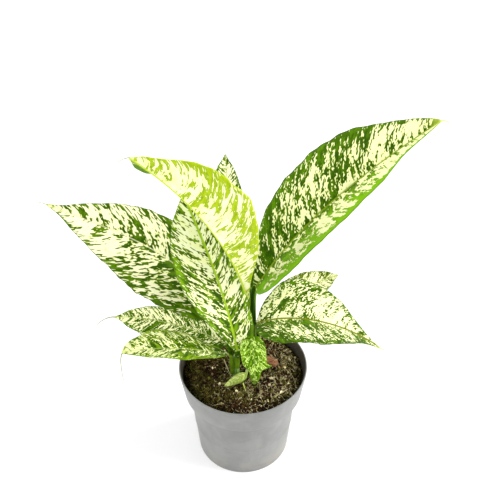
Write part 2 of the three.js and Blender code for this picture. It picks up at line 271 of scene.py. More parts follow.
class LeafMarbling(Surface):
    """A leaf's marbling: ragged cream blotches and flecks that run out along the side veins."""

    INPUTS = MarbledLook(seed=0.0).inputs()
    CREAM_EDGE = (0.49, 0.515)
    PALE_HALO = (0.39, 0.49)
    FLAKE_WEIGHT = 0.42
    BROAD_WEIGHT = 0.38
    CHUNK_CALM = 3.0  # the wider the right half's blotches, the fewer its flecks

    def read_maps(self) -> None:
        """Reads the leaf's maps and draws the patterns that the marbling is mixed from."""
        use = self.use
        self.veins = self.add("ShaderNodeUVMap", uv_map=VEIN_MAP).outputs[0]
        self.along, self.side, _ = self.split(self.add("ShaderNodeUVMap", uv_map=BLADE_MAP).outputs[0])
        self.across = self.math("ABSOLUTE", self.side)
        self.chunk = self.math("POWER", use["Chunk"], self.math("GREATER_THAN", self.side, 0.0))
        scale = self.join(self.math("DIVIDE", use["Across"], self.chunk),
                          self.math("MULTIPLY", use["Along"], self.chunk), 1.0)
        flow = self.vector("MULTIPLY", self.veins, scale)
        self.shift = self.join(use["Seed"], use["Seed"], use["Seed"])
        wide = self.stretch(flow, (19.0, 5.5, 1.0), self.shift)
        self.blotches = self.noise(wide, 1.0, 3.0, 0.55, use["Bend"])
        self.flakes = self.noise(self.stretch(flow, (44.0, 23.0, 1.0), self.shift), 1.0, 1.5, 0.5, 0.6)
        self.specks = self.noise(self.stretch(flow, (90.0, 62.0, 1.0), self.shift), 1.0, 0.5)
        self.broad = self.noise(self.stretch(flow, (4.0, 3.0, 1.0), self.shift), 1.0, 2.0)
        self.tone = self.noise(self.stretch(flow, (13.0, 7.0, 1.0), self.shift), 2.0, 3.0, 0.6)

    def creaminess(self) -> bpy.types.NodeSocket:
        """Works out how near to cream each place is.

        Returns:
            A value that turns to cream across `CREAM_EDGE`.
        """
        use = self.use
        rim_zone = self.step(self.across, 0.68, 1.0)
        speckle = self.math("MULTIPLY", self.math("MULTIPLY_ADD", rim_zone, 1.9, 1.0), use["Fleck"])
        speckle = self.math("DIVIDE", speckle, self.math("POWER", self.chunk, self.CHUNK_CALM))
        level = self.blotches
        for pattern, weight in ((self.flakes, self.FLAKE_WEIGHT), (self.specks, speckle),
                                (self.broad, self.BROAD_WEIGHT)):
            level = self.math("MULTIPLY_ADD", self.math("SUBTRACT", pattern, 0.5), weight, level)
        growth = self.math("MULTIPLY", self.math("SUBTRACT", self.along, 0.5), use["Tip"])
        share = self.math("MULTIPLY_ADD", use["Share"], 0.38, -0.19)
        level = self.math("ADD", self.math("ADD", level, growth), share)
        loss = self.math("MULTIPLY", rim_zone, use["Margin"])
        loss = self.math("MULTIPLY_ADD", self.step(self.side, 0.76, 0.94), use["Green rim"], loss)
        loss = self.math("MULTIPLY_ADD", self.step(self.side, 0.0, 0.15), use["Greener half"], loss)
        return self.math("SUBTRACT", level, loss)

    def blade(self, level: bpy.types.NodeSocket) -> bpy.types.NodeSocket:
        """Colours the blade's greens and lays the cream over them.

        Args:
            level: How near to cream each place is.

        Returns:
            The blade's colour, without its veins and edges.
        """
        use = self.use
        halo = self.step(level, *self.PALE_HALO)
        young = use["Lightness"]
        for share, weight in ((self.step(self.tone, 0.42, 0.62), use["Patches"]),
                              # painted light on the right half's greens, painted shade where the weight is
                              # below zero
                              (self.step(self.side, -0.1, 0.6), use["Light half"]),
                              (self.step(self.across, 0.7, 1.0), use["Light margin"]), (halo, -0.45)):
            young = self.math("MULTIPLY_ADD", share, weight, young)
        green = self.mix(self.add("ShaderNodeClamp", {0: young}).outputs[0], use["Dark"], use["Light"])
        green = self.mix(self.math("MULTIPLY", halo, 0.12), green, use["Pale"])
        cream = self.tinge(use["Cream"], use["Warm"], self.tone, 0.4, 0.65)
        cream = self.tinge(use["Fringe"], cream, level, 0.505, 0.56)
        return self.tinge(green, cream, level, *self.CREAM_EDGE)

    def trim(self, colour: bpy.types.NodeSocket) -> bpy.types.NodeSocket:
        """Adds fine vein lines, the midrib, the stalk, the rim, the tip and the paler underside.

        Args:
            colour: The blade's colour.

        Returns:
            The leaf's colour.
        """
        use = self.use
        lines = self.noise(self.stretch(self.veins, (150.0, 2.0, 1.0), self.shift), 1.0, 1.0)
        colour = self.tinge(colour, use["Pale"], lines, 0.58, 0.72, 0.12)
        out = self.math("ABSOLUTE", self.split(self.veins)[1])
        narrow = self.math("DIVIDE", out, use["Rib width"])
        colour = self.tinge(colour, use["Rib"], narrow, 0.009, 0.004, use["Rib share"])
        stalk = self.tinge(use["Stalk"], use["Dark"], self.flakes, 0.4, 0.62)
        colour = self.tinge(colour, stalk, self.along, 0.02, -0.05)
        colour = self.tinge(colour, use["Rim"], self.across, 0.965, 0.995, 0.6)
        colour = self.tinge(colour, use["Tip tint"], self.along, 0.94, 1.0, 0.5)
        under = self.add("ShaderNodeAttribute", attribute_name=UNDERSIDE).outputs["Fac"]
        return self.mix(self.math("MULTIPLY", under, use["Underside"]), colour, use["Pale"])

    def paint(self) -> dict[str, Any]:
        """Adds the marbling, its satin shine and the fine ripple of the veins.

        Returns:
            What feeds each output.
        """
        self.read_maps()
        shine = self.math("MULTIPLY_ADD", self.broad, 0.14, 0.32)
        shine = self.math("MULTIPLY_ADD", self.specks, 0.12, shine)
        ripple = self.noise(self.stretch(self.veins, (95.0, 1.6, 1.0)), 1.0, 1.0)
        height = self.math("MULTIPLY_ADD", ripple, 0.75, self.math("MULTIPLY", self.specks, 0.25))
        return {"Color": self.trim(self.blade(self.creaminess())), "Roughness": shine, "Height": height}


class MouldedPlastic(Surface):
    """Moulded plastic with faint flow marks, scuffs, dust near the foot and grain."""

    INPUTS = {"Base": (0.4, 0.4, 0.4), "Worn": (0.5, 0.5, 0.5), "Dust": (0.3, 0.25, 0.2), "Mottle": 0.6}

    def paint(self) -> dict[str, Any]:
        """Adds the nodes.

        Returns:
            What feeds each output.
        """
        use = self.use
        place = self.object_place()
        clouds = self.noise(place, 34.0, 5.0, 0.62, 0.4)
        flow = self.noise(self.stretch(place, (1.0, 1.0, 0.18)), 120.0, 3.0, 0.6)
        scratches = self.noise(self.stretch(place, (1.0, 1.0, 9.0)), 70.0, 4.0, 0.7, 0.6)
        grain = self.noise(place, 2400.0, 2.0)
        foot = self.step(self.split(place)[2], 0.022, 0.0)
        colour = self.tinge(use["Base"], use["Worn"], clouds, 0.3, 0.7, use["Mottle"])
        colour = self.tinge(colour, use["Worn"], flow, 0.55, 0.75, 0.18)
        colour = self.tinge(colour, use["Worn"], scratches, 0.68, 0.72, 0.25)
        stain = self.math("MULTIPLY", foot, self.step(clouds, 0.4, 0.65))
        colour = self.mix(self.math("MULTIPLY", stain, 0.55), colour, use["Dust"])
        bumps = self.math("MULTIPLY_ADD", grain, 0.5, self.math("MULTIPLY", flow, 0.5))
        return {"Color": colour, "Roughness": self.math("MULTIPLY_ADD", clouds, 0.22, 0.34), "Height": bumps}


class CrumblyPeat(Surface):
    """Crumbly peat: dark clods, tan fibres, green algae, and a ring of painted shade along the wall."""

    INPUTS = {"Dark": (0.006, 0.003, 0.001), "Brown": (0.075, 0.042, 0.014), "Tan": (0.4, 0.32, 0.16),
              "Algae": (0.085, 0.095, 0.012), "Algae share": 0.6}

    def paint(self) -> dict[str, Any]:
        """Adds the nodes.

        Returns:
            What feeds each output.
        """
        use = self.use
        place = self.object_place()
        clods = self.noise(place, 260.0, 5.0, 0.65, 0.3)
        grit = self.add("ShaderNodeTexVoronoi", {"Vector": place, "Scale": 620.0})
        grains = self.split(grit.outputs["Color"])[0]
        fibres = self.noise(self.stretch(place, (1.0, 3.2, 1.0)), 420.0, 2.0, 0.6, 1.5)
        level = self.vector("MULTIPLY", place, (1.0, 1.0, 0.0))
        out = self.add("ShaderNodeVectorMath", {0: level}, operation="LENGTH").outputs["Value"]
        film = self.step(self.noise(place, 38.0, 3.0, 0.6), 0.46, 0.62)
        film = self.math("MULTIPLY", film, use["Algae share"])
        colour = self.tinge(use["Dark"], use["Brown"], clods, 0.38, 0.66)
        colour = self.tinge(colour, use["Tan"], grains, 0.86, 0.94, 0.75)
        colour = self.tinge(colour, use["Tan"], fibres, 0.66, 0.74, 0.6)
        colour = self.tinge(colour, use["Algae"], clods, 0.35, 0.6, film)
        # painted shade: a dark ring on the peat beside the pot wall
        colour = self.tinge(colour, use["Dark"], out, 0.046, 0.053, 0.8)
        height = self.math("MULTIPLY_ADD", clods, 0.7, self.math("MULTIPLY", grains, 0.3))
        return {"Color": colour, "Roughness": self.math("MULTIPLY_ADD", clods, -0.2, 1.0), "Height": height}


class DryFibre(Surface):
    """The grain and weathered tones of bark, straw and dry threads."""

    INPUTS = {"Dark": (0.1, 0.05, 0.02), "Light": (0.4, 0.25, 0.12)}

    def paint(self) -> dict[str, Any]:
        """Adds the nodes.

        Returns:
            What feeds each output.
        """
        use = self.use
        place = self.object_place()
        grain = self.noise(self.stretch(place, (0.35, 1.6, 1.6)), 900.0, 4.0, 0.65, 0.8)
        patches = self.noise(place, 160.0, 2.0)
        colour = self.tinge(use["Dark"], use["Light"], grain, 0.4, 0.62)
        colour = self.tinge(colour, use["Dark"], patches, 0.5, 0.7, 0.4)
        return {"Color": colour, "Roughness": self.math("MULTIPLY_ADD", grain, 0.2, 0.65), "Height": grain}


class FleshyStem(Surface):
    """A fleshy stem with long pale streaks and small corky spots."""

    INPUTS = {"Green": (0.08, 0.2, 0.02), "Pale": (0.3, 0.45, 0.12), "Corky": (0.3, 0.25, 0.15)}

    def paint(self) -> dict[str, Any]:
        """Adds the nodes.

        Returns:
            What feeds each output.
        """
        use = self.use
        place = self.object_place()
        streaks = self.noise(self.stretch(place, (1.0, 1.0, 0.12)), 800.0, 3.0, 0.6)
        spots = self.noise(place, 1100.0, 1.0)
        colour = self.tinge(use["Green"], use["Pale"], streaks, 0.42, 0.62)
        colour = self.tinge(colour, use["Corky"], spots, 0.66, 0.72, 0.35)
        height = self.math("MULTIPLY_ADD", streaks, 0.6, self.math("MULTIPLY", spots, 0.4))
        return {"Color": colour, "Roughness": self.math("MULTIPLY_ADD", spots, 0.2, 0.34), "Height": height}


class TintedBits(Surface):
    """Small bits whose colour comes from their vertices, with a fine speckle."""

    INPUTS = {"Roughness": 0.8}

    def paint(self) -> dict[str, Any]:
        """Adds the nodes.

        Returns:
            What feeds each output.
        """
        use = self.use
        tint = self.add("ShaderNodeAttribute", attribute_name=TINT).outputs["Color"]
        speckle = self.noise(self.object_place(), 1800.0, 3.0, 0.6)
        shade = self.tinge((0.45, 0.42, 0.4), (1.15, 1.1, 1.0), speckle, 0.35, 0.6)
        rough = self.math("MULTIPLY_ADD", speckle, 0.15, use["Roughness"])
        return {"Color": self.mix(1.0, tint, shade, "MULTIPLY"), "Roughness": rough, "Height": speckle}


def material_with(name: str, constants: dict[str, Any]) -> bpy.types.Material:
    """Builds a material that has constants on its shader's own sockets.

    Args:
        name: The material's name.
        constants: The constants by socket.

    Returns:
        The new material.
    """
    material = bpy.data.materials.new(name)
    material.use_nodes = True
    for label, value in constants.items():
        material.node_tree.nodes["Principled BSDF"].inputs[label].default_value = value
    return material


@dataclass(frozen=True)
class Material:
    """One finish on one piece: a surface with its own values, and the constants of the shader."""

    name: str
    surface: type[Surface]
    values: dict[str, Any] = field(default_factory=dict)
    bump: float = 0.3
    bump_depth: float = 0.0003
    coat: float = 0.0
    coat_roughness: float = 0.25
    specular: float = 0.5
    specular_tint: Colour = (1.0, 1.0, 1.0)
    translucency: float = 0.0
    glow_colour: Colour = (0.7, 1.0, 0.25)
    glow_depth: float = 0.0012

    def build(self) -> bpy.types.Material:
        """Builds the material.

        Returns:
            A Blender material that reads the surface's node group.
        """
        constants = {"Specular IOR Level": self.specular, "Specular Tint": (*self.specular_tint, 1.0),
                     "Coat Weight": self.coat, "Coat Roughness": self.coat_roughness}
        if self.translucency:
            constants |= {"Subsurface Weight": self.translucency, "Subsurface Radius": self.glow_colour,
                          "Subsurface Scale": self.glow_depth}
        material = material_with(self.name, constants)
        sheet = NodeSheet(material.node_tree)
        look = sheet.add("ShaderNodeGroup", node_tree=self.surface.group())
        for label, value in self.values.items():
            sheet.feed(look.inputs[label], value)
        bump = sheet.add("ShaderNodeBump", {"Strength": self.bump, "Distance": self.bump_depth,
                                            "Height": look.outputs["Height"]})
        shader = material.node_tree.nodes["Principled BSDF"]
        for label, socket in (("Base Color", look.outputs["Color"]), ("Roughness", look.outputs["Roughness"]),
                              ("Normal", bump.outputs[0])):
            sheet.feed(shader.inputs[label], socket)
        return material


def fibrous(name: str, dark: Colour, light: Colour, **settings: float) -> bpy.types.Material:
    """Builds a dry fibre between two tones; the settings are other fields of `Material`."""
    return Material(name, DryFibre, {"Dark": dark, "Light": light}, **settings).build()


# ---------------------------------------------------------------- meshes


def in_scene(name: str, data: bpy.types.ID) -> bpy.types.Object:
    """Puts a mesh, a light or a camera in the scene.

    Args:
        name: The object's name.
        data: Its mesh, light or camera.

    Returns:
        The new object.
    """
    item = bpy.data.objects.new(name, data)
    bpy.context.scene.collection.objects.link(item)
    return item


def finish_piece(name: str, mesh: bpy.types.Mesh, materials: Sequence[bpy.types.Material],
                 nodes: Sequence[str] = ()) -> bpy.types.Object:
    """Puts a mesh in the scene with its materials, hangs it on the root and hides the frame's nodes that it
    stands for.

    Args:
        name: The piece's name.
        mesh: Its mesh, already where the piece lies.
        materials: Its materials in slot order.
        nodes: Nodes of the frame that the piece stands for.

    Returns:
        The new object.
    """
    piece = in_scene(name, mesh)
    mesh.materials.clear()
    for material in materials:
        mesh.materials.append(material)
    mesh.shade_smooth()
    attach(piece, ROOT)
    if nodes:
        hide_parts(*nodes)
    LOG.info("%s: %d faces", name, len(mesh.polygons))
    return piece


def mesh_of(work: bmesh.types.BMesh, name: str) -> bpy.types.Mesh:
    """Turns a bmesh into a mesh with its faces out, and frees it.

    Args:
        work: The bmesh.
        name: The mesh's name.

    Returns:
        The mesh.
    """
    bmesh.ops.recalc_face_normals(work, faces=work.faces)
    mesh = bpy.data.meshes.new(name)
    work.to_mesh(mesh)
    work.free()
    return mesh


def wrap_grid(places: np.ndarray, maps: dict[str, np.ndarray] | None = None,
              values: dict[str, np.ndarray] | None = None) -> bmesh.types.BMesh:
    """Wraps a grid round a body and closes it.

    Args:
        places: Points of shape (rows, columns, 3). Its last column lies on its first, and its first and
            last rows are each one point.
        maps: UV maps of shape (rows, columns, 2), by name.
        values: Values of shape (rows, columns) to keep at the vertices, by name.

    Returns:
        A closed bmesh.
    """
    rows, columns = places.shape[:2]
    work = bmesh.new()
    bmesh.ops.create_grid(work, x_segments=rows - 1, y_segments=columns - 1, size=0.5)
    flat = bpy.data.meshes.new("grid")
    work.to_mesh(flat)
    work.free()
    spots = np.empty(len(flat.vertices) * 3, dtype=np.float32)
    flat.vertices.foreach_get("co", spots)
    spots = spots.reshape(-1, 3)
    row = np.rint((spots[:, 0] + 0.5) * (rows - 1)).astype(int)
    column = np.rint((spots[:, 1] + 0.5) * (columns - 1)).astype(int)
    flat.vertices.foreach_set("co", places[row, column].astype(np.float32).ravel())
    corner = np.empty(len(flat.loops), dtype=np.int32)
    flat.loops.foreach_get("vertex_index", corner)
    for name, table in (maps or {}).items():
        layer = flat.uv_layers.new(name=name)
        layer.data.foreach_set("uv", table[row[corner], column[corner]].astype(np.float32).ravel())
    for name, table in (values or {}).items():
        layer = flat.attributes.new(name, "FLOAT", "POINT")
        layer.data.foreach_set("value", table[row, column].astype(np.float32))
    work = bmesh.new()
    work.from_mesh(flat)
    bpy.data.meshes.remove(flat)
    bmesh.ops.remove_doubles(work, verts=work.verts, dist=1e-7)
    return work


def sweep(path: np.ndarray, radii: np.ndarray, sides: int) -> bmesh.types.BMesh:
    """Sweeps a round section along a path and closes both ends.

    Args:
        path: Points of shape (n, 3) along the middle.
        radii: Radius at each point.
        sides: Number of sides.

    Returns:
        A closed bmesh.
    """
    along = np.gradient(path, axis=0)
    along /= np.linalg.norm(along, axis=1, keepdims=True)
    aside = np.cross(along, np.array([0.37, -0.61, 0.7]))
    aside /= np.linalg.norm(aside, axis=1, keepdims=True)
    upward = np.cross(aside, along)
    turn = np.linspace(0.0, FULL_TURN, sides + 1)
    ring = aside[:, None] * np.cos(turn)[None, :, None] + upward[:, None] * np.sin(turn)[None, :, None]
    places = path[:, None] + ring * radii[:, None, None]
    places = np.concatenate([places[:1] * 0 + path[0], places, places[:1] * 0 + path[-1]])
    places[:, -1] = places[:, 0]
    return wrap_grid(places)


def bezier(points: Sequence[Point], shares: np.ndarray) -> tuple[np.ndarray, np.ndarray]:
    """Follows a cubic Bezier curve.

    Args:
        points: Its four control points.
        shares: Where to read it, between 0 and 1.

    Returns:
        The points and the unit directions, each of shape (n, 3).
    """
    a, b, c, d = (np.asarray(point, dtype=float) for point in points)
    t = shares[:, None]
    place = a * (1 - t) ** 3 + 3 * b * t * (1 - t) ** 2 + 3 * c * t**2 * (1 - t) + d * t**3
    heading = (b - a) * (1 - t) ** 2 + 2 * (c - b) * t * (1 - t) + (d - c) * t**2
    return place, heading / np.linalg.norm(heading, axis=1, keepdims=True)


def through(points: Sequence[Point]) -> list[np.ndarray]:
    """Returns the control points of the cubic that passes through four points at even steps."""
    a, b, c, d = (np.asarray(point, dtype=float) for point in points)
    return [a, (-5 * a + 18 * b - 9 * c + 2 * d) / 6, (2 * a - 9 * b + 18 * c - 5 * d) / 6, d]


def smooth(t: np.ndarray) -> np.ndarray:
    """Returns the smooth rise from 0 to 1 of shares between 0 and 1."""
    return t * t * (3 - 2 * t)


def rise_from(t: np.ndarray, start: float, length: float) -> np.ndarray:
    """Returns the smooth rise from 0 to 1 that begins at a share and takes a length of its own."""
    return smooth(np.clip((t - start) / length, 0.0, 1.0))


# ---------------------------------------------------------------- canes


@dataclass(frozen=True)
class Cane:
    """An upright cane in the soil, with a ring at each node and a bud on top; sizes in millimetres."""

    name: str
    x: float
    y: float
    radius: float
    top: float
    internode: float
    bottom: float = 62.0
    bud: float = 7.0
    swell: float = 0.35
    sheath_gap: float = 0.65
    ring_width: float = 0.8
    waist: float = 0.15
    row_step: float = 0.5
    bud_rows: int = 12
    sides: int = 28

    @property
    def clasp(self) -> float:
        """Returns the radius at which leaf sheaths clasp the cane."""
        return self.radius + self.swell + self.sheath_gap

    def radius_at(self, height: float) -> float:
        """Works out how thick the cane is.

        Args:
            height: Height above the floor.

        Returns:
            Its radius at that height.
        """
        shoulder = self.top - self.bud
        if height > shoulder:
            return self.radius * 0.9 * math.sqrt(max(0.0, 1 - ((height - shoulder) / self.bud) ** 2))
        nearest = round((height - self.bottom) / self.internode) * self.internode + self.bottom
        ring = self.swell * math.exp(-(((height - nearest) / self.ring_width) ** 2))
        return self.radius + ring - self.waist

    def build(self, look: bpy.types.Material) -> bpy.types.Object:
        """Builds the cane.

        Args:
            look: Its material.

        Returns:
            The finished piece.
        """
        bud = np.linspace(0, math.pi / 2, self.bud_rows)
        heights = np.concatenate([np.arange(self.bottom, self.top - self.bud, self.row_step),
                                  self.top - self.bud * (1 - np.sin(bud))])
        path = np.stack([np.full_like(heights, self.x), np.full_like(heights, self.y), heights], axis=1)
        radii = np.array([self.radius_at(height) for height in heights])
        work = sweep(path * MM, radii * MM, self.sides)
        return finish_piece(f"stem_{self.name}", mesh_of(work, self.name), [look], [self.name])


MAIN_CANE = Cane("cane_main", 8, 0, 5, 150, 12)
SIDE_CANE = Cane("cane_side_shoot", -6.5, -8.5, 3.5, 132, 9)


# ---------------------------------------------------------------- leaves


@dataclass(frozen=True)
class Leaf:
    """One leaf, from the sheath that clasps its cane to the tip; sizes in millimetres, angles in degrees.

    `rib` gives four points of the midrib at even steps, and `face` the way the upper side looks. Pairs hold
    the left and the right half: `half` its greatest width, `belly` where that lies, `taper` how slender the
    ends are, `fold` its angle off the flat, `tip_fold` the same at the tip, `curl` its further bend to the
    margin, `lean` how much the side veins run forward, `drip` how much the blade narrows from `drip_from` on,
    and `lobes` how large a lobe it has there. `arch` is how much side veins curve forward towards the
    margin, `sheath` how wide the sheath is, and `flange` how far the petiole's edges stand out.
    """

    name: str
    cane: Cane
    azimuth: float
    height: float
    petiole: float
    rib: tuple[Point, Point, Point, Point]
    face: Point
    half: Pair
    belly: Pair
    taper: Pair
    fold: Pair
    curl: Pair
    wave: float
    waves: float
    look: MarbledLook
    slot: Slot = Slot.LEAF
    thickness: float = 0.5
    sheath: float = 0.9
    flange: float = 0.6
    tip_core: float = 0.3
    rise_share: float = 0.5
    lean_share: float = 0.12
    vein_step: float = 5.2
    vein_relief: float = 0.16
    lean: Pair = (0.7, 0.7)
    arch: float = 0.3
    drip: Pair = (0.0, 0.0)
    drip_from: float = 0.86
    drip_length: float = 0.14
    lobes: Pair = (0.0, 0.0)
    lobe_length: float = 0.04
    wave_share: float = 0.7
    wave_phases: Pair = (2.3, 0.9)
    tip_fold: Pair | None = None
    tip_fold_from: float = 0.6
    tip_fold_length: float = 0.35
    groove: float = 0.28
    end_reach: float = 1.6
    stalk_rows: int = 26
    blade_rows: int = 190
    half_columns: int = 16
    core_columns: int = 4

    def axis(self) -> dict[str, np.ndarray]:
        """Works out the leaf's axis from sheath to tip.

        Returns:
            Arrays with a value for each row: its place, heading, facing, share of the stalk (0 at the
            sheath, 1 along the blade) and share of the blade (negative along the stalk).
        """
        inward = -np.array([math.cos(math.radians(self.azimuth)), math.sin(math.radians(self.azimuth)), 0.0])
        start = np.array([self.cane.x, self.cane.y, self.height]) - inward * self.cane.clasp
        control = through(self.rib)
        blade = 1 - (1 - np.linspace(0.0, 1.0, self.blade_rows)) ** 1.08
        rib, rib_heading = bezier(control, blade)
        span = np.linalg.norm(control[0] - start)
        stalk = np.linspace(0.0, 1.0, self.stalk_rows, endpoint=False)
        above = start + np.array([0.0, 0.0, span * self.rise_share])
        lean = control[0] - rib_heading[0] * span * self.lean_share
        low, low_heading = bezier([start, above, lean, control[0]], stalk)
        turn = smooth(stalk)[:, None]
        facing = np.concatenate([inward * (1 - turn) + np.array(self.face) * turn,
                                 np.broadcast_to(self.face, rib.shape)])
        return {
            "place": np.concatenate([low, rib]),
            "heading": np.concatenate([low_heading, rib_heading]),
            "facing": facing,
            "stalk": np.concatenate([stalk, np.ones(self.blade_rows)]),
            "blade": np.concatenate([stalk - 1.0, blade]),
        }

    def outline(self, blade: np.ndarray, side: int) -> np.ndarray:
        """Draws one side's outline.

        Args:
            blade: Share of the blade at each row.
            side: 0 for the left half, 1 for the right.

        Returns:
            The width at each row, as a share of the half's greatest width.
        """
        belly, taper, seed = self.belly[side], self.taper[side], self.look.seed
        t = np.clip(blade, 0.0, 1.0)
        swell = taper * belly / (1 - belly)
        shape = (t / belly) ** swell * ((1 - t) / (1 - belly)) ** taper
        nibble = 1 + 0.012 * np.sin(43 * t + seed) + 0.008 * np.sin(97 * t + 2 * seed)
        narrowing = 1 - self.drip[side] * rise_from(t, self.drip_from, self.drip_length)
        lobe_middle = self.drip_from + 2 * self.lobe_length
        lobe = self.lobes[side] * np.exp(-(((t - lobe_middle) / self.lobe_length) ** 2))
        return shape * nibble * narrowing + lobe

    def section(self, axis: dict[str, np.ndarray], side: int) -> dict[str, np.ndarray]:
        """Works out one half of every section.

        Args:
            axis: The leaf's axis.
            side: 0 for the left half, 1 for the right.

        Returns:
            Arrays of core radius, width, fold, curl and lift, in millimetres and radians.
        """
        stalk, blade = axis["stalk"], axis["blade"]
        on_blade = blade >= 0
        t = np.clip(blade, 0.0, 1.0)
        blade_core = self.petiole * 0.8
        core = np.where(on_blade, blade_core + (self.tip_core - blade_core) * t**0.6,
                        self.petiole * (1 - 0.2 * stalk))
        outline = self.outline(blade, side)
        turn = smooth(stalk)
        wing = self.sheath * self.petiole / 2.4
        beside_stalk = wing + (self.flange - wing) * turn
        beside_rib = self.flange * (1 - t) + 0.05 + self.half[side] * outline
        width = core + np.where(on_blade, beside_rib, beside_stalk)
        clasp = 0.85 * width / self.cane.clasp
        flat_fold = self.fold[side]
        opening = rise_from(t, self.tip_fold_from, self.tip_fold_length)
        tip_fold = flat_fold if self.tip_fold is None else self.tip_fold[side]
        fold = np.radians(flat_fold + (tip_fold - flat_fold) * opening) * turn
        curl = clasp * (1 - turn) + np.radians(self.curl[side]) * turn
        sway = np.sin(FULL_TURN * self.waves * t + self.wave_phases[side])
        lift = self.wave_share * outline * self.half[side] / max(self.half) * self.wave * sway
        return {"core": core, "width": width, "fold": fold, "curl": curl, "lift": lift}

    def ring(self) -> list[tuple[int, float, float, float]]:
        """Lists the points round a section.

        Returns:
            For each point its side, its share of the core, its share of the blade beyond, and its face:
            1 for the top, -1 for the underside and 0 for the edge.
        """
        beyond = [(1.0, 1 - k / self.half_columns) for k in range(self.half_columns + 1)]
        beyond += [(1 - k / self.core_columns, 0.0) for k in range(1, self.core_columns + 1)]
        points = [(0, a, b, 1.0) for a, b in beyond] + [(1, a, b, 1.0) for a, b in beyond[-2::-1]]
        points += [(1, 1.0, 1.0, 0.0)]
        points += [(1, a, b, -1.0) for a, b in beyond] + [(0, a, b, -1.0) for a, b in beyond[-2::-1]]
        points += [(0, 1.0, 1.0, 0.0)]
        return points + points[:1]

    def mesh(self) -> bpy.types.Mesh:
        """Builds the leaf's mesh with its vein and blade maps.

        Returns:
            One closed mesh.
        """
        axis = self.axis()
        halves = [self.section(axis, side) for side in (0, 1)]
        right = np.cross(axis["heading"], axis["facing"])
        right /= np.linalg.norm(right, axis=1, keepdims=True)
        normal = np.cross(right, axis["heading"])
        length = np.concatenate([[0.0], np.cumsum(np.linalg.norm(np.diff(axis["place"], axis=0), axis=1))])
        length -= length[self.stalk_rows]
        closing = self.end_rounding(length)
        places, veins, blades, unders = [], [], [], []
        for side, inner, outer, face in self.ring():
            half = halves[side]
            sign = 1.0 if side else -1.0
            distance = half["core"] * inner + (half["width"] - half["core"]) * outer
            share = distance / half["width"]
            bent = np.where(np.abs(half["curl"]) < LEAST_BEND, LEAST_BEND, half["curl"])
            angle = half["fold"] + bent * share
            across = half["width"] * (np.sin(angle) - np.sin(half["fold"])) / bent
            up = half["width"] * (np.cos(half["fold"]) - np.cos(angle)) / bent
            slope = self.lean[side] * distance + self.arch * half["width"] * share**2
            vein = length - slope * np.clip(axis["blade"] * 8, 0.0, 1.0)
            raised = self.raised(half, vein, inner, outer, face, axis["blade"])
            lift = half["lift"] * share**2
            edge = np.where(face == 0.0, 0.5 * self.thickness, 0.0)
            offset = right * (sign * ((across + edge * np.cos(angle)) - raised * np.sin(angle)))[:, None]
            offset += normal * (up + lift + edge * np.sin(angle) + raised * np.cos(angle))[:, None]
            places.append(axis["place"] + offset * closing[:, None])
            veins.append(np.stack([vein, sign * distance], axis=1) * MM / VEIN_UNIT)
            blades.append(np.stack([axis["blade"], sign * share], axis=1))
            unders.append(np.full(len(length), 0.5 - 0.5 * face))
        work = wrap_grid(np.stack(places, axis=1) * MM,
                         {VEIN_MAP: np.stack(veins, axis=1), BLADE_MAP: np.stack(blades, axis=1)},
                         {UNDERSIDE: np.stack(unders, axis=1)})
        return mesh_of(work, self.name)

    def raised(self, half: dict[str, np.ndarray], vein: np.ndarray, inner: float, outer: float, face: float,
               blade: np.ndarray) -> np.ndarray:
        """Works out how far a line of points stands off the blade's middle plane.

        Args:
            half: The half's sections.
            vein: Vein coordinate of each row, in millimetres.
            inner: Share of the core.
            outer: Share of the blade beyond the core.
            face: 1 for the top, -1 for the underside, 0 for the edge.
            blade: Share of the blade at each row.

        Returns:
            The height of each row's point, in millimetres.
        """
        core = half["core"]
        fade = math.sin(math.pi * min(outer * 1.15, 1.0)) ** 0.6
        quilt = np.abs(np.sin(math.pi * vein / self.vein_step)) ** 0.7 - 0.6
        body = face * 0.5 * self.thickness
        if face < 0 and outer == 0.0:
            body = body - core * math.sqrt(1 - inner**2)
        elif face > 0 and outer == 0.0:
            body = body - self.groove * core * (1 - inner**2) * np.clip(blade * 5, 0.3, 1.0)
        return body + self.vein_relief * quilt * fade * np.clip(blade * 6, 0.0, 1.0)

    def end_rounding(self, length: np.ndarray) -> np.ndarray:
        """Works out how the sections draw together at both ends, down to nothing.

        Args:
            length: Distance of each row along the axis.

        Returns:
            The factor for each row's section.
        """
        start = np.clip((length - length[0]) / self.end_reach, 0.0, 1.0)
        end = np.clip((length[-1] - length) / self.end_reach, 0.0, 1.0)
        return np.sqrt(1 - (1 - start) ** 2) * np.sqrt(1 - (1 - end) ** 2)

    def build(self) -> bpy.types.Object:
        """Builds the leaf and returns the finished piece."""
        look = self.look.material(self.name)
        return finish_piece(f"fine_{self.name}", self.mesh(), [look], [self.name])


LIME = {"dark": (0.07, 0.19, 0.002), "light": (0.41, 0.55, 0.006), "pale": (0.56, 0.66, 0.04),
        "cream": (0.93, 0.93, 0.58), "warm": (0.87, 0.88, 0.4), "rib": (0.46, 0.6, 0.015),
        "fringe": (0.72, 0.8, 0.2), "rim": (0.5, 0.62, 0.02), "stalk": (0.035, 0.1, 0.002)}
FRESH = {"dark": (0.035, 0.12, 0.001), "light": (0.23, 0.45, 0.004), "pale": (0.32, 0.54, 0.02),
         "cream": (0.6, 0.86, 0.14), "warm": (0.72, 0.88, 0.3), "fringe": (0.5, 0.75, 0.08),
         "rim": (0.16, 0.32, 0.004), "stalk": (0.1, 0.25, 0.003)}
SHOOT_STALK = (0.085, 0.2, 0.003)

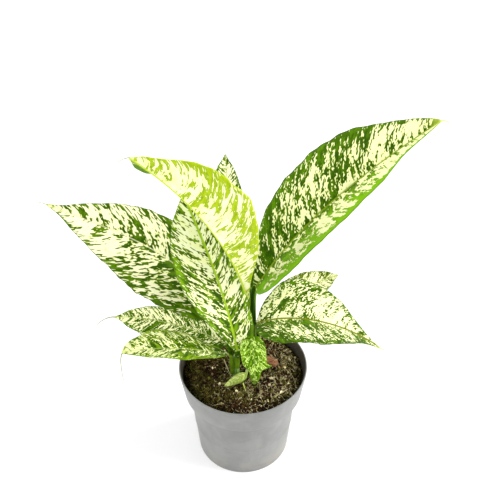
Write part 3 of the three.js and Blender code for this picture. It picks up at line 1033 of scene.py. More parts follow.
LEAVES = (
    Leaf("leaf_large_right", MAIN_CANE, 72, 128, 2.6,
         ((12, 6, 202), (53, 16, 262), (103, 26, 312), (159, 30, 361)), (-0.5, -0.5, 0.7),
         (42, 42), (0.52, 0.38), (0.85, 0.85), (24, 38), (-6, 0), 2, 3,
         MarbledLook(seed=3.1, share=0.455, tip=0.08, margin=0.15, across=0.75, along=0.85, chunk=1.25,
                     # the right half's greens get painted light
                     greener_half=-0.06, green_rim=0.22, patches=0.3, light_half=0.9, light_margin=0.15,
                     light=(0.19, 0.45, 0.001), pale=(0.26, 0.48, 0.01), cream=(0.91, 0.93, 0.52),
                     warm=(0.9, 0.9, 0.46), rib=(0.25, 0.36, 0.02), rib_share=0.9, rib_width=1.3),
         lean=(0.45, 0.3), drip=(0.12, 0.45), drip_from=0.72, wave_share=0.35),
    Leaf("leaf_new_folded", MAIN_CANE, 196, 134, 2.1,
         ((4, -8, 203), (-15, -35, 285), (-46, -44, 342), (-82, -40, 375)), (0.5, 0.75, 0.35),
         (38.5, 36), (0.53, 0.5), (1.5, 1.6), (50, 78), (-10, -10), 1.5, 4,
         MarbledLook(seed=11.7, share=0.6, tip=-0.05, margin=0.16, across=0.7, along=0.7, fleck=0.3,
                     bend=2.2, rib_share=0.9, underside=0.0, greener_half=0.25, lightness=1.0,
                     # the right half's greens get painted shade
                     patches=-0.3, light_half=-1.0, light_margin=0.0, **LIME),
         slot=Slot.LIME_LEAF, lean=(-0.1, 0.7), arch=0.75, lobes=(0.04, 0.12), tip_fold=(50, 0)),
    Leaf("leaf_back_upright", MAIN_CANE, 138, 122, 1.9,
         ((7.5, 15, 192), (-7, 50, 220), (-14, 85, 248), (-16, 110, 272)), (0.1, -0.6, 0.8),
         (18, 15), (0.42, 0.42), (0.9, 0.9), (18, 18), (0, 0), 1.5, 3,
         MarbledLook(seed=5.3, share=0.45, across=1.2, along=1.5, tip_tint=(0.12, 0.2, 0.02)),
         blade_rows=130, half_columns=12, drip=(0.55, 0.55)),
    Leaf("leaf_centre_front", SIDE_CANE, 286, 117, 2.0,
         ((-5, -16, 144), (-17, -14, 212), (-32, -8, 266), (-47, 0, 310)), (0.35, -0.85, 0.4),
         (31, 18), (0.55, 0.24), (0.9, 0.9), (8, 16), (-10, 0), 1.5, 3,
         MarbledLook(seed=7.9, share=0.55, tip=0.1, margin=0.13, greener_half=-0.02, across=0.55,
                     along=0.8, light_margin=0.4, fleck=0.44, light=(0.2, 0.4, 0.003),
                     cream=(0.93, 0.96, 0.6), warm=(0.92, 0.94, 0.48), rib=(0.36, 0.55, 0.02),
                     rib_share=1.0, rib_width=1.6, stalk=SHOOT_STALK),
         lean=(1.25, 0.9)),
    Leaf("leaf_large_left", SIDE_CANE, 85, 118, 1.9,
         ((-13, 0, 170), (-59, 10, 226), (-106, 18, 255), (-164, 18, 286)), (0.35, -0.55, 0.76),
         (40, 30), (0.4, 0.47), (1.1, 1.1), (8, 34), (-8, -6), 2, 3,
         MarbledLook(seed=1.4, share=0.59, tip=0.19, margin=0.13, across=0.48, along=0.75, bend=1.8,
                     fleck=0.5, rib=(0.85, 0.82, 0.5), stalk=SHOOT_STALK),
         lean=(0.8, 0.5), arch=0.6, drip=(0.35, 0.35)),
    Leaf("leaf_left_lower_back", SIDE_CANE, 152, 112, 1.6,
         ((-15, -5, 141), (-49, 8, 148), (-86, 15, 153), (-119, 18, 153)), (0, -0.4, 0.9),
         (19, 14), (0.45, 0.45), (1.0, 1.0), (12, 12), (-20, -10), 1.5, 3,
         MarbledLook(seed=9.2, share=0.45, across=1.2, along=1.5, fleck=0.5, cream=(0.88, 0.91, 0.5),
                     stalk=SHOOT_STALK),
         blade_rows=130, half_columns=12, vein_step=4.2, drip=(0.5, 0.5)),
    Leaf("leaf_left_lower_front", SIDE_CANE, 216, 107, 1.6,
         ((-13, -18, 142), (-42, -28, 158), (-74, -34, 166), (-106, -36, 163)), (0, -0.1, 0.99),
         (16, 21), (0.5, 0.62), (1.0, 0.75), (30, 10), (-20, -20), 1.5, 3,
         MarbledLook(seed=13.6, share=0.41, tip=0.12, along=1.3, light_margin=0.6, fleck=0.5,
                     light=(0.2, 0.34, 0.003), cream=(0.86, 0.92, 0.46), warm=(0.86, 0.86, 0.42),
                     fringe=(0.55, 0.66, 0.12), stalk=SHOOT_STALK),
         blade_rows=130, half_columns=12, vein_step=4.2, drip=(-0.3, -0.3)),
    Leaf("leaf_right_lower", MAIN_CANE, -45, 114, 2.1,
         ((13, -7, 170), (47, -8, 177), (86, -8, 166.5), (125, -12, 143)), (0, -0.1, 0.99),
         (34, 38), (0.36, 0.34), (2.0, 1.15), (36, 26), (0, -14), 2, 3,
         MarbledLook(seed=17.3, share=0.72, tip=0.12, across=0.9, along=1.3, fleck=0.6,
                     # the right half's greens get painted shade
                     greener_half=0.17, green_rim=0.15, light_half=-0.3, dark=(0.03, 0.075, 0.003),
                     # the dark, wide midrib is partly the olive rib and partly painted shade that falls below
                     # it
                     cream=(0.92, 0.92, 0.54), rib=(0.19, 0.22, 0.015), rib_share=1.0, rib_width=1.7),
         blade_rows=150, lean=(0.3, 0.3), drip=(0.0, 0.25), drip_from=0.72),
    Leaf("leaf_right_small_back", MAIN_CANE, 11, 108, 1.5,
         ((18, 12, 164), (42, 36, 164), (67, 52, 164), (90, 58, 169)), (0, -0.4, 0.9),
         (13, 15), (0.5, 0.5), (0.9, 0.9), (12, 12), (-10, -10), 1, 3,
         MarbledLook(seed=19.8, share=0.55, across=1.3, along=1.4, dark=(0.045, 0.08, 0.002),
                     light=(0.14, 0.2, 0.01), cream=(0.9, 0.92, 0.5)),
         blade_rows=110, half_columns=12, vein_step=4.0, drip=(0.4, 0.4)),
    Leaf("leaf_front_small", MAIN_CANE, 262, 112, 1.5,
         ((7, -13, 158), (9, -23, 153), (11, -30, 136), (10, -27, 111)), (0, -0.8, 0.6),
         (10.5, 10), (0.42, 0.42), (0.6, 0.6), (10, 10), (-20, -20), 1, 2,
         MarbledLook(seed=23.5, share=0.28, tip=0.0, across=1.1, along=1.8, fleck=0.6, light_margin=0.2,
                     rib_share=0.3, **FRESH),
         blade_rows=110, half_columns=12, vein_step=3.4, drip=(0.45, 0.45), drip_from=0.58, lobes=(0.7, 0.0)),
    Leaf("cataphyll", MAIN_CANE, 232, 105, 1.0,
         ((3, -11.5, 108), (-2, -17.5, 110.5), (-9, -21.5, 109), (-17, -24, 105)), (0, -0.5, 0.86),
         (4, 3.6), (0.4, 0.4), (0.8, 0.8), (10, 10), (-70, -50), 0, 2,
         MarbledLook(seed=29.1, share=0.45, along=2.0, across=1.5, dark=(0.2, 0.3, 0.04),
                     light=(0.38, 0.46, 0.09), pale=(0.4, 0.5, 0.12), cream=(0.62, 0.74, 0.22),
                     warm=(0.55, 0.6, 0.22), fringe=(0.45, 0.54, 0.14), rib=(0.36, 0.46, 0.12),
                     rim=(0.42, 0.52, 0.12), stalk=(0.4, 0.45, 0.2), rib_share=0.2),
         slot=Slot.SCALE_LEAF, blade_rows=60, half_columns=8, vein_step=1.6, vein_relief=0.05),
)


# ---------------------------------------------------------------- pot and soil


@dataclass
class NurseryPot:
    """A thin-walled nursery pot with a tall collar; sizes in millimetres, angles in radians."""

    height: float = 108.0
    rim_radius: float = 60.5
    collar_radius: float = 56.2
    collar_bottom: float = 80.0
    body_radius: float = 50.4
    body_top: float = 72.0
    base_radius: float = 44.0
    wall: float = 1.6
    floor: float = 2.4
    foot_width: float = 4.5
    hub_radius: float = 18.0
    hollow: float = 1.0
    line_height: float = 37.0
    line_relief: float = 0.35
    drain_count: int = 8
    drain_radius: float = 3.5
    drain_circle: float = 29.0
    drill_length: float = 8.0
    drill_sides: int = 28
    corner_radius: float = 0.25
    corner_angle: float = 0.35
    steps: int = 160
    gloss_outside: float = 0.6
    gloss_inside: float = 0.5

    def outside(self, height: float) -> float:
        """Returns the outer radius of the body under the shoulder at a height."""
        return self.base_radius + (self.body_radius - self.base_radius) * height / self.body_top

    def inside(self, height: float) -> float:
        """Works out how wide the pot is inside.

        Args:
            height: Height between underside and rim.

        Returns:
            Its inner radius at that height.
        """
        levels = (0.0, self.body_top + 1, self.collar_bottom + 1, self.height)
        radii = (self.base_radius, self.body_radius, self.collar_radius, self.rim_radius)
        return float(np.interp(height, levels, radii)) - self.wall

    def profile(self) -> list[Pair]:
        """Lists the section of wall and floor.

        Returns:
            Pairs of radius and height, from the axis below to the axis above.
        """
        hollow_edge = self.base_radius - self.foot_width
        line = self.line_height
        below = [(0.0, 0.0), (self.hub_radius, 0.0), (self.hub_radius + 1, self.hollow),
                 (hollow_edge - 1, self.hollow), (hollow_edge, 0.0), (self.base_radius - 0.2, 0.0)]
        body = [(self.outside(1.4) + 0.1, 1.4), (self.outside(line - 0.6), line - 0.6),
                (self.outside(line) + self.line_relief, line), (self.outside(line + 1.4) + 0.1, line + 1.4),
                (self.body_radius, self.body_top)]
        collar = [(self.collar_radius - 0.5, self.collar_bottom - 1.2),
                  (self.collar_radius, self.collar_bottom)]
        rim = [(self.rim_radius, self.height - 0.8), (self.rim_radius - 0.5, self.height),
               (self.rim_radius - self.wall + 0.3, self.height)]
        levels = (self.height - 1.0, self.collar_bottom + 1, self.body_top + 1, self.floor)
        lining = [(self.inside(level), level) for level in levels]
        return below + body + collar + rim + lining + [(0.0, self.floor)]

    def shell(self) -> bpy.types.Mesh:
        """Spins the wall's section and eases its corners.

        Returns:
            The closed shell, before its holes.
        """
        work = bmesh.new()
        spots = [work.verts.new((radius * MM, 0.0, height * MM)) for radius, height in self.profile()]
        edges = [work.edges.new(pair) for pair in zip(spots, spots[1:])]
        bmesh.ops.spin(work, geom=spots + edges, cent=(0, 0, 0), axis=(0, 0, 1), angle=FULL_TURN,
                       steps=self.steps, use_merge=True)
        bmesh.ops.remove_doubles(work, verts=work.verts, dist=1e-6)
        bmesh.ops.recalc_face_normals(work, faces=work.faces)
        corners = [edge for edge in work.edges
                   if edge.is_manifold and edge.calc_face_angle() > self.corner_angle]
        bmesh.ops.bevel(work, geom=corners, offset=self.corner_radius * MM, offset_type="OFFSET", segments=2,
                        profile=0.5, affect="EDGES", material=-1, clamp_overlap=True)
        return mesh_of(work, "pot_shell")

    def drill(self, shell: bpy.types.Mesh) -> bpy.types.Mesh:
        """Cuts the drain holes.

        Args:
            shell: The undrilled shell.

        Returns:
            The drilled mesh.
        """
        work = bmesh.new()
        for k in range(self.drain_count):
            angle = FULL_TURN * k / self.drain_count
            place = Matrix.Translation((self.drain_circle * MM * math.cos(angle),
                                        self.drain_circle * MM * math.sin(angle), self.floor * MM / 2))
            bmesh.ops.create_cone(work, cap_ends=True, segments=self.drill_sides, matrix=place,
                                  radius1=self.drain_radius * MM, radius2=self.drain_radius * MM,
                                  depth=self.drill_length * MM)
        blank = in_scene("pot_blank", shell)
        plugs = in_scene("drain_plugs", mesh_of(work, "drain_plugs"))
        cut = blank.modifiers.new("drains", "BOOLEAN")
        cut.operation = "DIFFERENCE"
        cut.object = plugs
        cut.solver = "EXACT"
        drilled = bpy.data.meshes.new_from_object(blank.evaluated_get(bpy.context.evaluated_depsgraph_get()))
        bpy.data.objects.remove(blank)
        bpy.data.objects.remove(plugs)
        return drilled

    def is_lining(self, face: bpy.types.MeshPolygon) -> bool:
        """Tells whether a face belongs to the inner wall or the floor inside.

        Args:
            face: The face.

        Returns:
            True for the lining.
        """
        place = face.center / MM
        reach = math.hypot(place.x, place.y)
        looks_in = face.normal.x * place.x + face.normal.y * place.y < 0
        if place.z <= self.floor * 0.9 or reach >= self.inside(place.z) + 0.4:
            return False
        return looks_in or place.z < 10.0

    def plastic(self, name: str, base: Colour, worn: Colour, dust: Colour,
                gloss: float) -> bpy.types.Material:
        """Builds the plastic of one side, which is dusty near the foot and worn in patches."""
        return Material(name, MouldedPlastic, {"Base": base, "Worn": worn, "Dust": dust}, bump=0.12,
                        bump_depth=0.0002, specular=gloss).build()

    def build(self) -> bpy.types.Object:
        """Builds the pot, grey outside and darker inside.

        Returns:
            The finished piece.
        """
        mesh = self.drill(self.shell())
        outer = self.plastic("grey pot plastic", (0.172, 0.173, 0.165), (0.285, 0.285, 0.27),
                             (0.33, 0.26, 0.18), self.gloss_outside)
        inner = self.plastic("dark pot lining", (0.05, 0.043, 0.032), (0.095, 0.082, 0.06),
                             (0.07, 0.05, 0.028), self.gloss_inside)
        piece = finish_piece("grey_pot", mesh, [outer, inner], ["pot"])
        for face in mesh.polygons:
            face.material_index = int(self.is_lining(face))
        return piece


IN_METRES = Matrix.Scale(MM, 4)
DARK_PEAT = (0.024, 0.01, 0.004)
BROWN_PEAT = (0.08, 0.043, 0.016)
RED_PEAT = (0.16, 0.1, 0.04)
OLIVE_PEAT = (0.1, 0.11, 0.016)
TAN_GRIT = (0.38, 0.32, 0.16)
PALE_GRIT = (0.85, 0.77, 0.52)
MOSS_GREEN = (0.17, 0.18, 0.03)


@dataclass
class PottingSoil:
    """Peat that fills the pot, with its crumbs, moss and fibres; sizes in millimetres."""

    pot: NurseryPot
    edge_height: float = 100.0
    mound: float = 2.5
    bump: float = 0.9
    clod_height: float = 1.6
    crumb_height: float = 3.4
    settled: float = 2.0
    sag: float = 5.0
    sag_width: float = 0.16
    wall_gap: float = 0.3
    # painted shade on the soil beside the wall: where it starts, how wide it grows and how dark it gets
    damp_from: float = 0.78
    damp_width: float = 0.14
    damp_share: float = 0.35
    cells: int = 230
    reach: float = 0.95
    crumb_count: int = 4200
    crumb_size: Pair = (0.3, 2.1)
    crumb_tones: Pair = (0.35, 1.75)
    crumb_roughness: float = 0.18
    moss_count: int = 6000
    moss_height: Pair = (0.8, 2.4)
    moss_radii: Pair = (0.2, 0.04)
    moss_tones: Pair = (0.3, 2.6)
    moss_lean: float = 0.6
    fibre_count: int = 430
    fibre_length: Pair = (2.5, 13.5)
    fibre_radii: Pair = (0.3, 0.14)
    fibre_bend: float = 0.45
    fibre_points: int = 9
    seed: int = 41
    rng: random.Random = field(init=False)

    def __post_init__(self) -> None:
        """Seeds the random draws."""
        self.rng = random.Random(self.seed)

    @property
    def radius(self) -> float:
        """Returns the pot's inner radius at the soil's edge."""
        return self.pot.inside(self.edge_height)

    def outwards(self, x: float, y: float) -> float:
        """Returns how far out a place is: 0 in the middle and 1 at the wall."""
        return math.hypot(x, y) / self.radius

    def base_height(self, x: float, y: float) -> float:
        """Works out the smooth mound.

        Args:
            x: Place to the right.
            y: Place to the back.

        Returns:
            Its height at that place.
        """
        out = min(self.outwards(x, y), 1.0)
        waves = math.sin(x / 5.2 + 1) * math.cos(y / 6.1) + math.sin((x + y) / 9.3) * math.cos((x - y) / 7.7)
        return self.edge_height + (1 - out * out) * (self.mound + self.bump * waves)

    def surface(self, x: float, y: float) -> float:
        """Works out the crumbly surface, which sags beside the wall.

        Args:
            x: Place to the right.
            y: Place to the back.

        Returns:
            Its height at that place.
        """
        clods = noise.fractal(Vector((x / 7.0, y / 7.0, 3.7)), 0.9, 2.1, 4)
        crumbs = abs(noise.noise(Vector((x / 2.1, y / 2.1, 9.1)))) + 0.5 * abs(
            noise.noise(Vector((x / 0.95, y / 0.95, 1.3))))
        sag = self.sag * max(0.0, self.outwards(x, y) - 1 + self.sag_width) / self.sag_width
        relief = self.clod_height * clods + self.crumb_height * crumbs - self.settled
        return self.base_height(x, y) + relief - sag

    def moss_share(self, x: float, y: float) -> float:
        """Works out how mossy a place is: most at the front, in drifts.

        Args:
            x: Place to the right.
            y: Place to the back.

        Returns:
            A share between 0 and 1.
        """
        drift = noise.fractal(Vector((x / 19.0, y / 19.0, 5.5)), 1.0, 2.0, 3)
        front = 0.5 - y / 130.0
        return min(1.0, max(0.0, 2.4 * drift + front - 0.2))

    def body(self) -> bpy.types.Mesh:
        """Builds the soil's body: a crumbly top drawn onto a disc, and sides down to the floor.

        Returns:
            The closed mesh.
        """
        work = bmesh.new()
        bmesh.ops.create_grid(work, x_segments=self.cells, y_segments=self.cells, size=1.0)
        top_radius = self.radius - self.wall_gap
        for vert in work.verts:
            a, b = vert.co.x, vert.co.y
            x = a * math.sqrt(1 - b * b / 2) * top_radius
            y = b * math.sqrt(1 - a * a / 2) * top_radius
            vert.co = Vector((x, y, self.surface(x, y))) * MM
        for level in (self.pot.collar_bottom + 1, self.pot.body_top + 1, self.pot.floor + self.wall_gap):
            rim = [edge for edge in work.edges if edge.is_boundary]
            lower = bmesh.ops.extrude_edge_only(work, edges=rim)["geom"]
            for vert in (item for item in lower if isinstance(item, bmesh.types.BMVert)):
                heading = Vector((vert.co.x, vert.co.y, 0)).normalized()
                vert.co = (heading * (self.pot.inside(level) - self.wall_gap) + Vector((0, 0, level))) * MM
        bmesh.ops.holes_fill(work, edges=[edge for edge in work.edges if edge.is_boundary], sides=0)
        return mesh_of(work, "soil")

    def random_place(self, reach: float, share: Callable[[float, float], float] | None = None) -> Pair:
        """Draws a place on the soil's surface.

        Args:
            reach: Share of the soil's radius that it stays within.
            share: Gives the share of places that is kept at a place; all are kept without it.

        Returns:
            The place.
        """
        while True:
            radius = self.radius * reach * math.sqrt(self.rng.random())
            angle = self.rng.uniform(0, FULL_TURN)
            x, y = radius * math.cos(angle), radius * math.sin(angle)
            if share is None or self.rng.random() <= share(x, y):
                return x, y

    def mostly_small(self, limits: Pair) -> float:
        """Draws a size between two limits, far more often near the lower one."""
        return limits[0] + (limits[1] - limits[0]) * self.rng.random() ** 3

    def crumb_tint(self, x: float, y: float) -> Colour:
        """Draws a crumb's colour: redder on the left, tan and pale on the right, olive in front.

        Args:
            x: Place to the right.
            y: Place to the back.

        Returns:
            The colour.
        """
        kind = self.rng.random()
        side = (x + 0.5 * min(0.0, y + 15.0)) / 110.0
        if kind < 0.44 - side * 0.6:
            return DARK_PEAT
        if kind < 0.68 - side * 0.8:
            return BROWN_PEAT
        if kind < 0.84 - side * 0.5:
            return OLIVE_PEAT if y < 0 else RED_PEAT
        if kind < 0.92 - max(side, 0.0) * 0.2:
            return TAN_GRIT
        return PALE_GRIT

    def wall_shade(self, x: float, y: float) -> float:
        """Returns the factor that paints shade onto the soil beside the wall, most of all in front."""
        near = min(1.0, max(0.0, (self.outwards(x, y) - self.damp_from) / self.damp_width))
        return 1 - near * self.damp_share * (1 - y / self.radius)

    def add_crumb(self, work: bmesh.types.BMesh, layer: Any) -> None:
        """Adds one crumb of peat, bark or grit with its own tint.

        Args:
            work: The bmesh that takes it.
            layer: The tint's layer.
        """
        x, y = self.random_place(self.reach)
        size = self.mostly_small(self.crumb_size)
        spin = Euler([self.rng.uniform(0, 6.3) for _ in range(3)]).to_matrix().to_4x4()
        width, depth = size * self.rng.uniform(0.5, 1), size * self.rng.uniform(0.35, 0.8)
        squash = Matrix.Diagonal((size, width, depth, 1))
        place = Matrix.Translation((x, y, self.surface(x, y) + size * self.rng.uniform(-0.1, 0.4)))
        lump = bmesh.ops.create_icosphere(work, subdivisions=1, radius=1.0,
                                          matrix=IN_METRES @ place @ spin @ squash)["verts"]
        tint = self.crumb_tint(x, y)
        # the tone carries the painted shade beside the wall
        dye(lump, layer, tint, self.rng.uniform(*self.crumb_tones) * self.wall_shade(x, y))
        for vert in lump:
            push = Vector([self.rng.uniform(-1, 1) for _ in range(3)])
            vert.co += push * size * self.crumb_roughness * MM

    def add_moss_shoot(self, work: bmesh.types.BMesh, layer: Any) -> None:
        """Adds one tapered moss shoot where moss grows.

        Args:
            work: The bmesh that takes it.
            layer: The tint's layer.
        """
        x, y = self.random_place(self.reach, self.moss_share)
        tall = self.rng.uniform(*self.moss_height)
        lean = Euler((self.rng.gauss(0, self.moss_lean), self.rng.gauss(0, self.moss_lean),
                      self.rng.uniform(0, 6.3)))
        place = Matrix.Translation((x, y, self.surface(x, y) - 0.2))
        lift = Matrix.Translation((0, 0, tall / 2))
        shoot = bmesh.ops.create_cone(work, cap_ends=True, segments=3, radius1=self.moss_radii[0],
                                      radius2=self.moss_radii[1], depth=tall,
                                      matrix=IN_METRES @ place @ lean.to_matrix().to_4x4() @ lift)["verts"]
        # the tone carries the painted shade beside the wall
        dye(shoot, layer, MOSS_GREEN, self.rng.uniform(*self.moss_tones) * self.wall_shade(x, y))

    def add_fibre(self, work: bmesh.types.BMesh) -> None:
        """Lays one loose bent fibre over the soil, more often on the right; very short ones are left out.

        Args:
            work: The bmesh that takes it.
        """
        x, y = self.random_place(0.9, lambda x, y: 0.45 + x / 80.0)
        heading = self.rng.uniform(0, FULL_TURN)
        last = self.fibre_points - 1
        stride = self.mostly_small(self.fibre_length) / last
        bend = self.rng.uniform(-self.fibre_bend, self.fibre_bend)
        path = []
        for k in range(self.fibre_points):
            path.append((x, y, self.surface(x, y) + 0.35 + 0.5 * math.sin(math.pi * k / last)))
            heading += bend
            x, y = x + math.cos(heading) * stride, y + math.sin(heading) * stride
            if self.outwards(x, y) > 0.94:
                break
        if len(path) > 3:
            radii = np.linspace(*self.fibre_radii, len(path))
            add_mesh(work, sweep(np.array(path) * MM, radii * MM, 5))

    def fibres(self) -> bpy.types.Mesh:
        """Lays loose peat fibres over the soil.

        Returns:
            One mesh of them all.
        """
        work = bmesh.new()
        for _ in range(self.fibre_count):
            self.add_fibre(work)
        return mesh_of(work, "fibres")

    def build(self) -> None:
        """Builds the soil and what lies in it."""
        earth = Material("crumbly peat", CrumblyPeat, bump=0.8, bump_depth=0.0012, specular=0.05).build()
        dry = fibrous("peat fibre", (0.22, 0.15, 0.06), (0.78, 0.7, 0.42), specular=0.1)
        crumbly, mossy = (Material(name, TintedBits, {"Roughness": rough}, bump=0.5, specular=0.08).build()
                          for name, rough in (("peat crumbs", 0.85), ("moss", 0.7)))
        finish_piece("soil_fill", self.body(), [earth], ["soil"])
        crumbs = scatter("soil_crumbs", self.crumb_count, self.add_crumb)
        moss = scatter("moss", self.moss_count, self.add_moss_shoot)
        finish_piece("soil_crumbs", crumbs, [crumbly])
        finish_piece("soil_moss", moss, [mossy])
        finish_piece("soil_fibres", self.fibres(), [dry])


def dye(verts: Iterable[bmesh.types.BMVert], layer: Any, tint: Colour, tone: float) -> None:
    """Gives vertices a tint, made lighter by a factor."""
    for vert in verts:
        vert[layer] = (*[channel * tone for channel in tint], 1.0)


def scatter(name: str, count: int, add_one: Callable[[bmesh.types.BMesh, Any], None],
            batch: int = 40) -> bpy.types.Mesh:
    """Gathers many small tinted shapes into one mesh, in batches so that each step stays quick.

    Args:
        name: The mesh's name.
        count: Number of shapes.
        add_one: Adds one shape to a bmesh, given its tint layer.
        batch: Number of shapes worked on together.

    Returns:
        One mesh of all the shapes.
    """
    parts = []
    for start in range(0, count, batch):
        work = bmesh.new()
        layer = work.verts.layers.float_color.new(TINT)
        for _ in range(min(batch, count - start)):
            add_one(work, layer)
        parts.append(mesh_of(work, name))
    whole = bmesh.new()
    for part in parts:
        whole.from_mesh(part)
        bpy.data.meshes.remove(part)
    return mesh_of(whole, name)


def add_mesh(work: bmesh.types.BMesh, part: bmesh.types.BMesh) -> None:
    """Adds one bmesh to another and frees it.

    Args:
        work: The bmesh that grows.
        part: The bmesh to add.
    """
    carrier = bpy.data.meshes.new("part")
    part.to_mesh(carrier)
    part.free()
    work.from_mesh(carrier)
    bpy.data.meshes.remove(carrier)


# ---------------------------------------------------------------- litter and dry threads


THREADS = (
    ("thread_left_lower_back", 0.65,
     ((-118, 18, 153), (-124, 18, 152.5), (-130.5, 17, 149.5), (-137, 16, 143.5))),
    ("thread_left_lower_front", 0.6,
     ((-105, -36, 163), (-107, -37, 157), (-107.5, -38, 146), (-107, -38, 128))),
    ("thread_large_left", 0.35, ((-162, 18, 285), (-166, 18, 287), (-170, 18, 288), (-174, 18, 288))),
    ("thread_right_small", 0.3, ((89, 58, 169), (92, 58.5, 169), (95, 59, 168), (98, 59, 166))),
    ("thread_new_leaf", 0.35, ((-81, -40, 375), (-85, -40, 374), (-88, -40, 372.5), (-91, -40, 371))),
)
GREEN_TIPS = (
    ("tip_large_right", 0.7, ((157, 30, 360), (161, 30.5, 360.5), (164, 31, 359), (166.5, 31, 357.5))),
    ("tip_right_lower", 0.6, ((123, -12, 144), (126, -12, 142.5), (128, -12, 141.5), (130, -12, 140.5))),
    ("cataphyll_stalk", 0.6, ((0.2, -20.5, 105.5), (0.9, -23, 104.6), (1.8, -25.5, 103.8), (2.6, -28, 103))),
)


@dataclass
class Litter:
    """The flake of bark, the straws on the soil, and the dry threads and green points at leaf tips."""

    soil: PottingSoil
    bark_place: Pair = (25.0, 6.5)
    bark_size: Point = (16.0, 11.0, 5.5)
    bark_turn: float = -26.0
    bark_tilt: float = 7.0
    bark_layers: float = 0.18
    bark_boxiness: Point = (0.7, 0.75, 0.45)
    straw_turn: float = 36.0
    straw_place: Pair = (36.5, -29.0)
    straw_length: float = 18.0
    straw_bow: float = 1.2
    straw_rise: float = 0.6
    strand_start: Pair = (-18.2, 9.7)
    strand_end: Pair = (-10.3, -12.4)
    strand_radius: float = 0.45
    thread_rows: int = 22
    thread_sides: int = 8

    def bark(self) -> bpy.types.Mesh:
        """Shapes the flake: a flattened sphere with ragged layers.

        Returns:
            The flake's mesh.
        """
        x, y = self.bark_place
        length, width, thickness = self.bark_size
        work = bmesh.new()
        bmesh.ops.create_icosphere(work, subdivisions=4, radius=1.0)
        for vert in work.verts:
            ball = vert.co
            flat = [math.copysign(abs(value) ** power, value)
                    for value, power in zip(ball, self.bark_boxiness)]
            rag = noise.fractal(ball * 1.7 + Vector((4, 2, 7)), 0.8, 2.2, 4)
            layer = self.bark_layers * noise.noise(Vector((ball.x * 1.3, ball.y * 7, ball.z * 3)))
            vert.co = Vector((flat[0] * length / 2 * (0.93 + 0.14 * rag),
                              flat[1] * width / 2 * (0.9 + 0.2 * rag),
                              flat[2] * thickness / 2 * (0.85 + layer)))
        turn = Matrix.Rotation(math.radians(self.bark_turn), 4, "Z")
        tilt = Matrix.Rotation(math.radians(self.bark_tilt), 4, "Y")
        place = Matrix.Translation((x, y, self.soil.base_height(x, y) + 1.6 + thickness * 0.32))
        bmesh.ops.transform(work, matrix=IN_METRES @ place @ turn @ tilt, verts=work.verts)
        return mesh_of(work, "bark")

    def straw(self) -> bpy.types.Mesh:
        """Bends the straw a little over the crumbs, clear of the highest of them.

        Returns:
            The straw's mesh.
        """
        shares = np.linspace(-0.5, 0.5, 14)
        turn = math.radians(self.straw_turn)
        x = self.straw_place[0] + shares * self.straw_length * math.cos(turn)
        y = self.straw_place[1] + shares * self.straw_length * math.sin(turn)
        low = max(self.soil.surface(*spot) for spot in zip(x, y)) + 0.35
        bow = 0.25 - shares**2
        path = np.stack([x, y + self.straw_bow * 2 * bow, low + self.straw_rise * bow], axis=1)
        return mesh_of(sweep(path * MM, np.linspace(0.5, 0.34, len(path)) * MM, 8), "straw")

    def laid(self, start: Pair, end: Pair) -> list[Point]:
        """Returns four points that lead over the soil from one place to another."""
        places = [[a + (b - a) * k / 3 for a, b in zip(start, end)] for k in range(4)]
        return [(x, y, self.soil.base_height(x, y) + 1.2) for x, y in places]

    def thread(self, name: str, radius: float, points: Sequence[Point], look: bpy.types.Material) -> None:
        """Draws one thin thread through four points.

        Args:
            name: The piece's name.
            radius: Its radius at the thick end, in millimetres.
            points: Four points in millimetres.
            look: Its material.
        """
        path, _ = bezier(through(points), np.linspace(0, 1, self.thread_rows))
        radii = np.linspace(radius, radius * 0.35, self.thread_rows)
        mesh = mesh_of(sweep(path * MM, radii * MM, self.thread_sides), name)
        finish_piece(name, mesh, [look])

    def build(self) -> None:
        """Builds the litter and the threads."""
        bark = fibrous("reddish bark", (0.11, 0.045, 0.02), (0.45, 0.21, 0.1), bump=0.7, bump_depth=0.0008,
                       specular=0.15)
        straw = fibrous("dry straw", (0.4, 0.33, 0.16), (0.75, 0.68, 0.42), specular=0.3)
        pale = fibrous("dry leaf tip", (0.16, 0.18, 0.06), (0.4, 0.4, 0.2), bump=0.2, specular=0.3)
        green = fibrous("green leaf tip", (0.5, 0.62, 0.05), (0.75, 0.85, 0.25), bump=0.1)
        finish_piece("bark_flake", self.bark(), [bark], ["bark_chip"])
        finish_piece("straw_long", self.straw(), [straw], ["dry_straw"])
        for thread in THREADS:
            self.thread(*thread, pale)
        for tip in GREEN_TIPS:
            self.thread(*tip, green)
        self.thread("shoot_strand", self.strand_radius, self.laid(self.strand_start, self.strand_end), straw)


# ---------------------------------------------------------------- studio


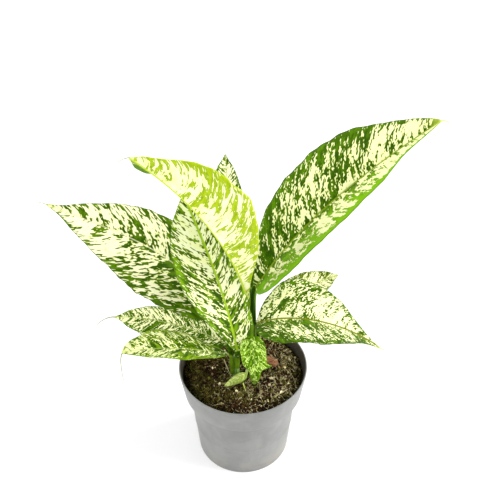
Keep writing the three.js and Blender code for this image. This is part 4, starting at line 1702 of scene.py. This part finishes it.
@dataclass
class Studio:
    """A bright white sweep, soft light and the camera; sizes in metres, angles in degrees."""

    focal_pixels: float = 960.0
    frame_pixels: float = 500.0
    sensor: float = 36.0
    camera_place: Point = (0.0066, -0.612, 0.783)
    pitch: float = 41.0
    floor_size: float = 6.0
    room_colour: Colour = (0.97, 0.985, 1.0)
    room_light: float = 0.66
    aim: Point = (0, 0, 0.2)

    def floor(self) -> None:
        """Lays the white floor."""
        work = bmesh.new()
        bmesh.ops.create_grid(work, x_segments=1, y_segments=1, size=self.floor_size)
        floor = in_scene("floor", mesh_of(work, "floor"))
        floor.data.materials.append(material_with("white paper", {
            "Base Color": (0.89, 0.89, 0.89, 1), "Roughness": 0.9, "Specular IOR Level": 0.1,
            "Emission Color": (1, 1, 1, 1), "Emission Strength": 0.05}))

    def light(self, name: str, place: Point, size: float, power: float) -> None:
        """Adds one soft square light that points at the plant.

        Args:
            name: The light's name.
            place: Where it hangs.
            size: Its edge length.
            power: Its power in watts.
        """
        lamp = bpy.data.lights.new(name, "AREA")
        lamp.shape = "SQUARE"
        lamp.size = size
        lamp.energy = power
        holder = in_scene(name, lamp)
        holder.location = place
        holder.rotation_euler = (Vector(self.aim) - Vector(place)).to_track_quat("-Z", "Y").to_euler()

    def camera(self) -> None:
        """Sets up the camera, which looks down at the plant from the front."""
        lens = bpy.data.cameras.new("camera")
        lens.sensor_width = self.sensor
        lens.lens = self.sensor * self.focal_pixels / self.frame_pixels
        lens.clip_start = 0.01
        camera = in_scene("camera", lens)
        camera.location = self.camera_place
        camera.rotation_euler = (math.radians(90 - self.pitch), 0, 0)
        bpy.context.scene.camera = camera

    def build(self) -> None:
        """Builds floor, world, lights and camera."""
        self.floor()
        world = bpy.data.worlds.new("white room")
        world.use_nodes = True
        background = world.node_tree.nodes["Background"].inputs
        background["Color"].default_value = (*self.room_colour, 1)
        background["Strength"].default_value = self.room_light
        bpy.context.scene.world = world
        self.light("left window", (-1.9, -0.3, 1.5), 1.6, 34)
        self.light("right window", (1.9, 0.1, 1.0), 1.6, 66)
        self.light("front window", (-0.3, -1.3, 1.8), 1.0, 9)
        self.camera()
        bpy.context.scene.view_settings.view_transform = "Standard"
        bpy.context.scene.view_settings.look = "None"


# ---------------------------------------------------------------- the plant


def corners(box: Iterable[Any]) -> list[list[float]]:
    """Returns a box's two corners as plain lists of numbers."""
    return [[float(value) for value in corner] for corner in box]


def main() -> None:
    """Builds the potted plant around the frame."""
    logging.basicConfig(level=logging.INFO, format="%(name)s: %(message)s")
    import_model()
    Studio().build()
    pot = NurseryPot()
    pot.build()
    soil = PottingSoil(pot)
    soil.build()
    stem = Material("green stem", FleshyStem, coat=0.1, translucency=0.08).build()
    for cane in (MAIN_CANE, SIDE_CANE):
        cane.build(stem)
    for leaf in LEAVES:
        leaf.build()
    Litter(soil).build()


if __name__ == "__main__":
    main()
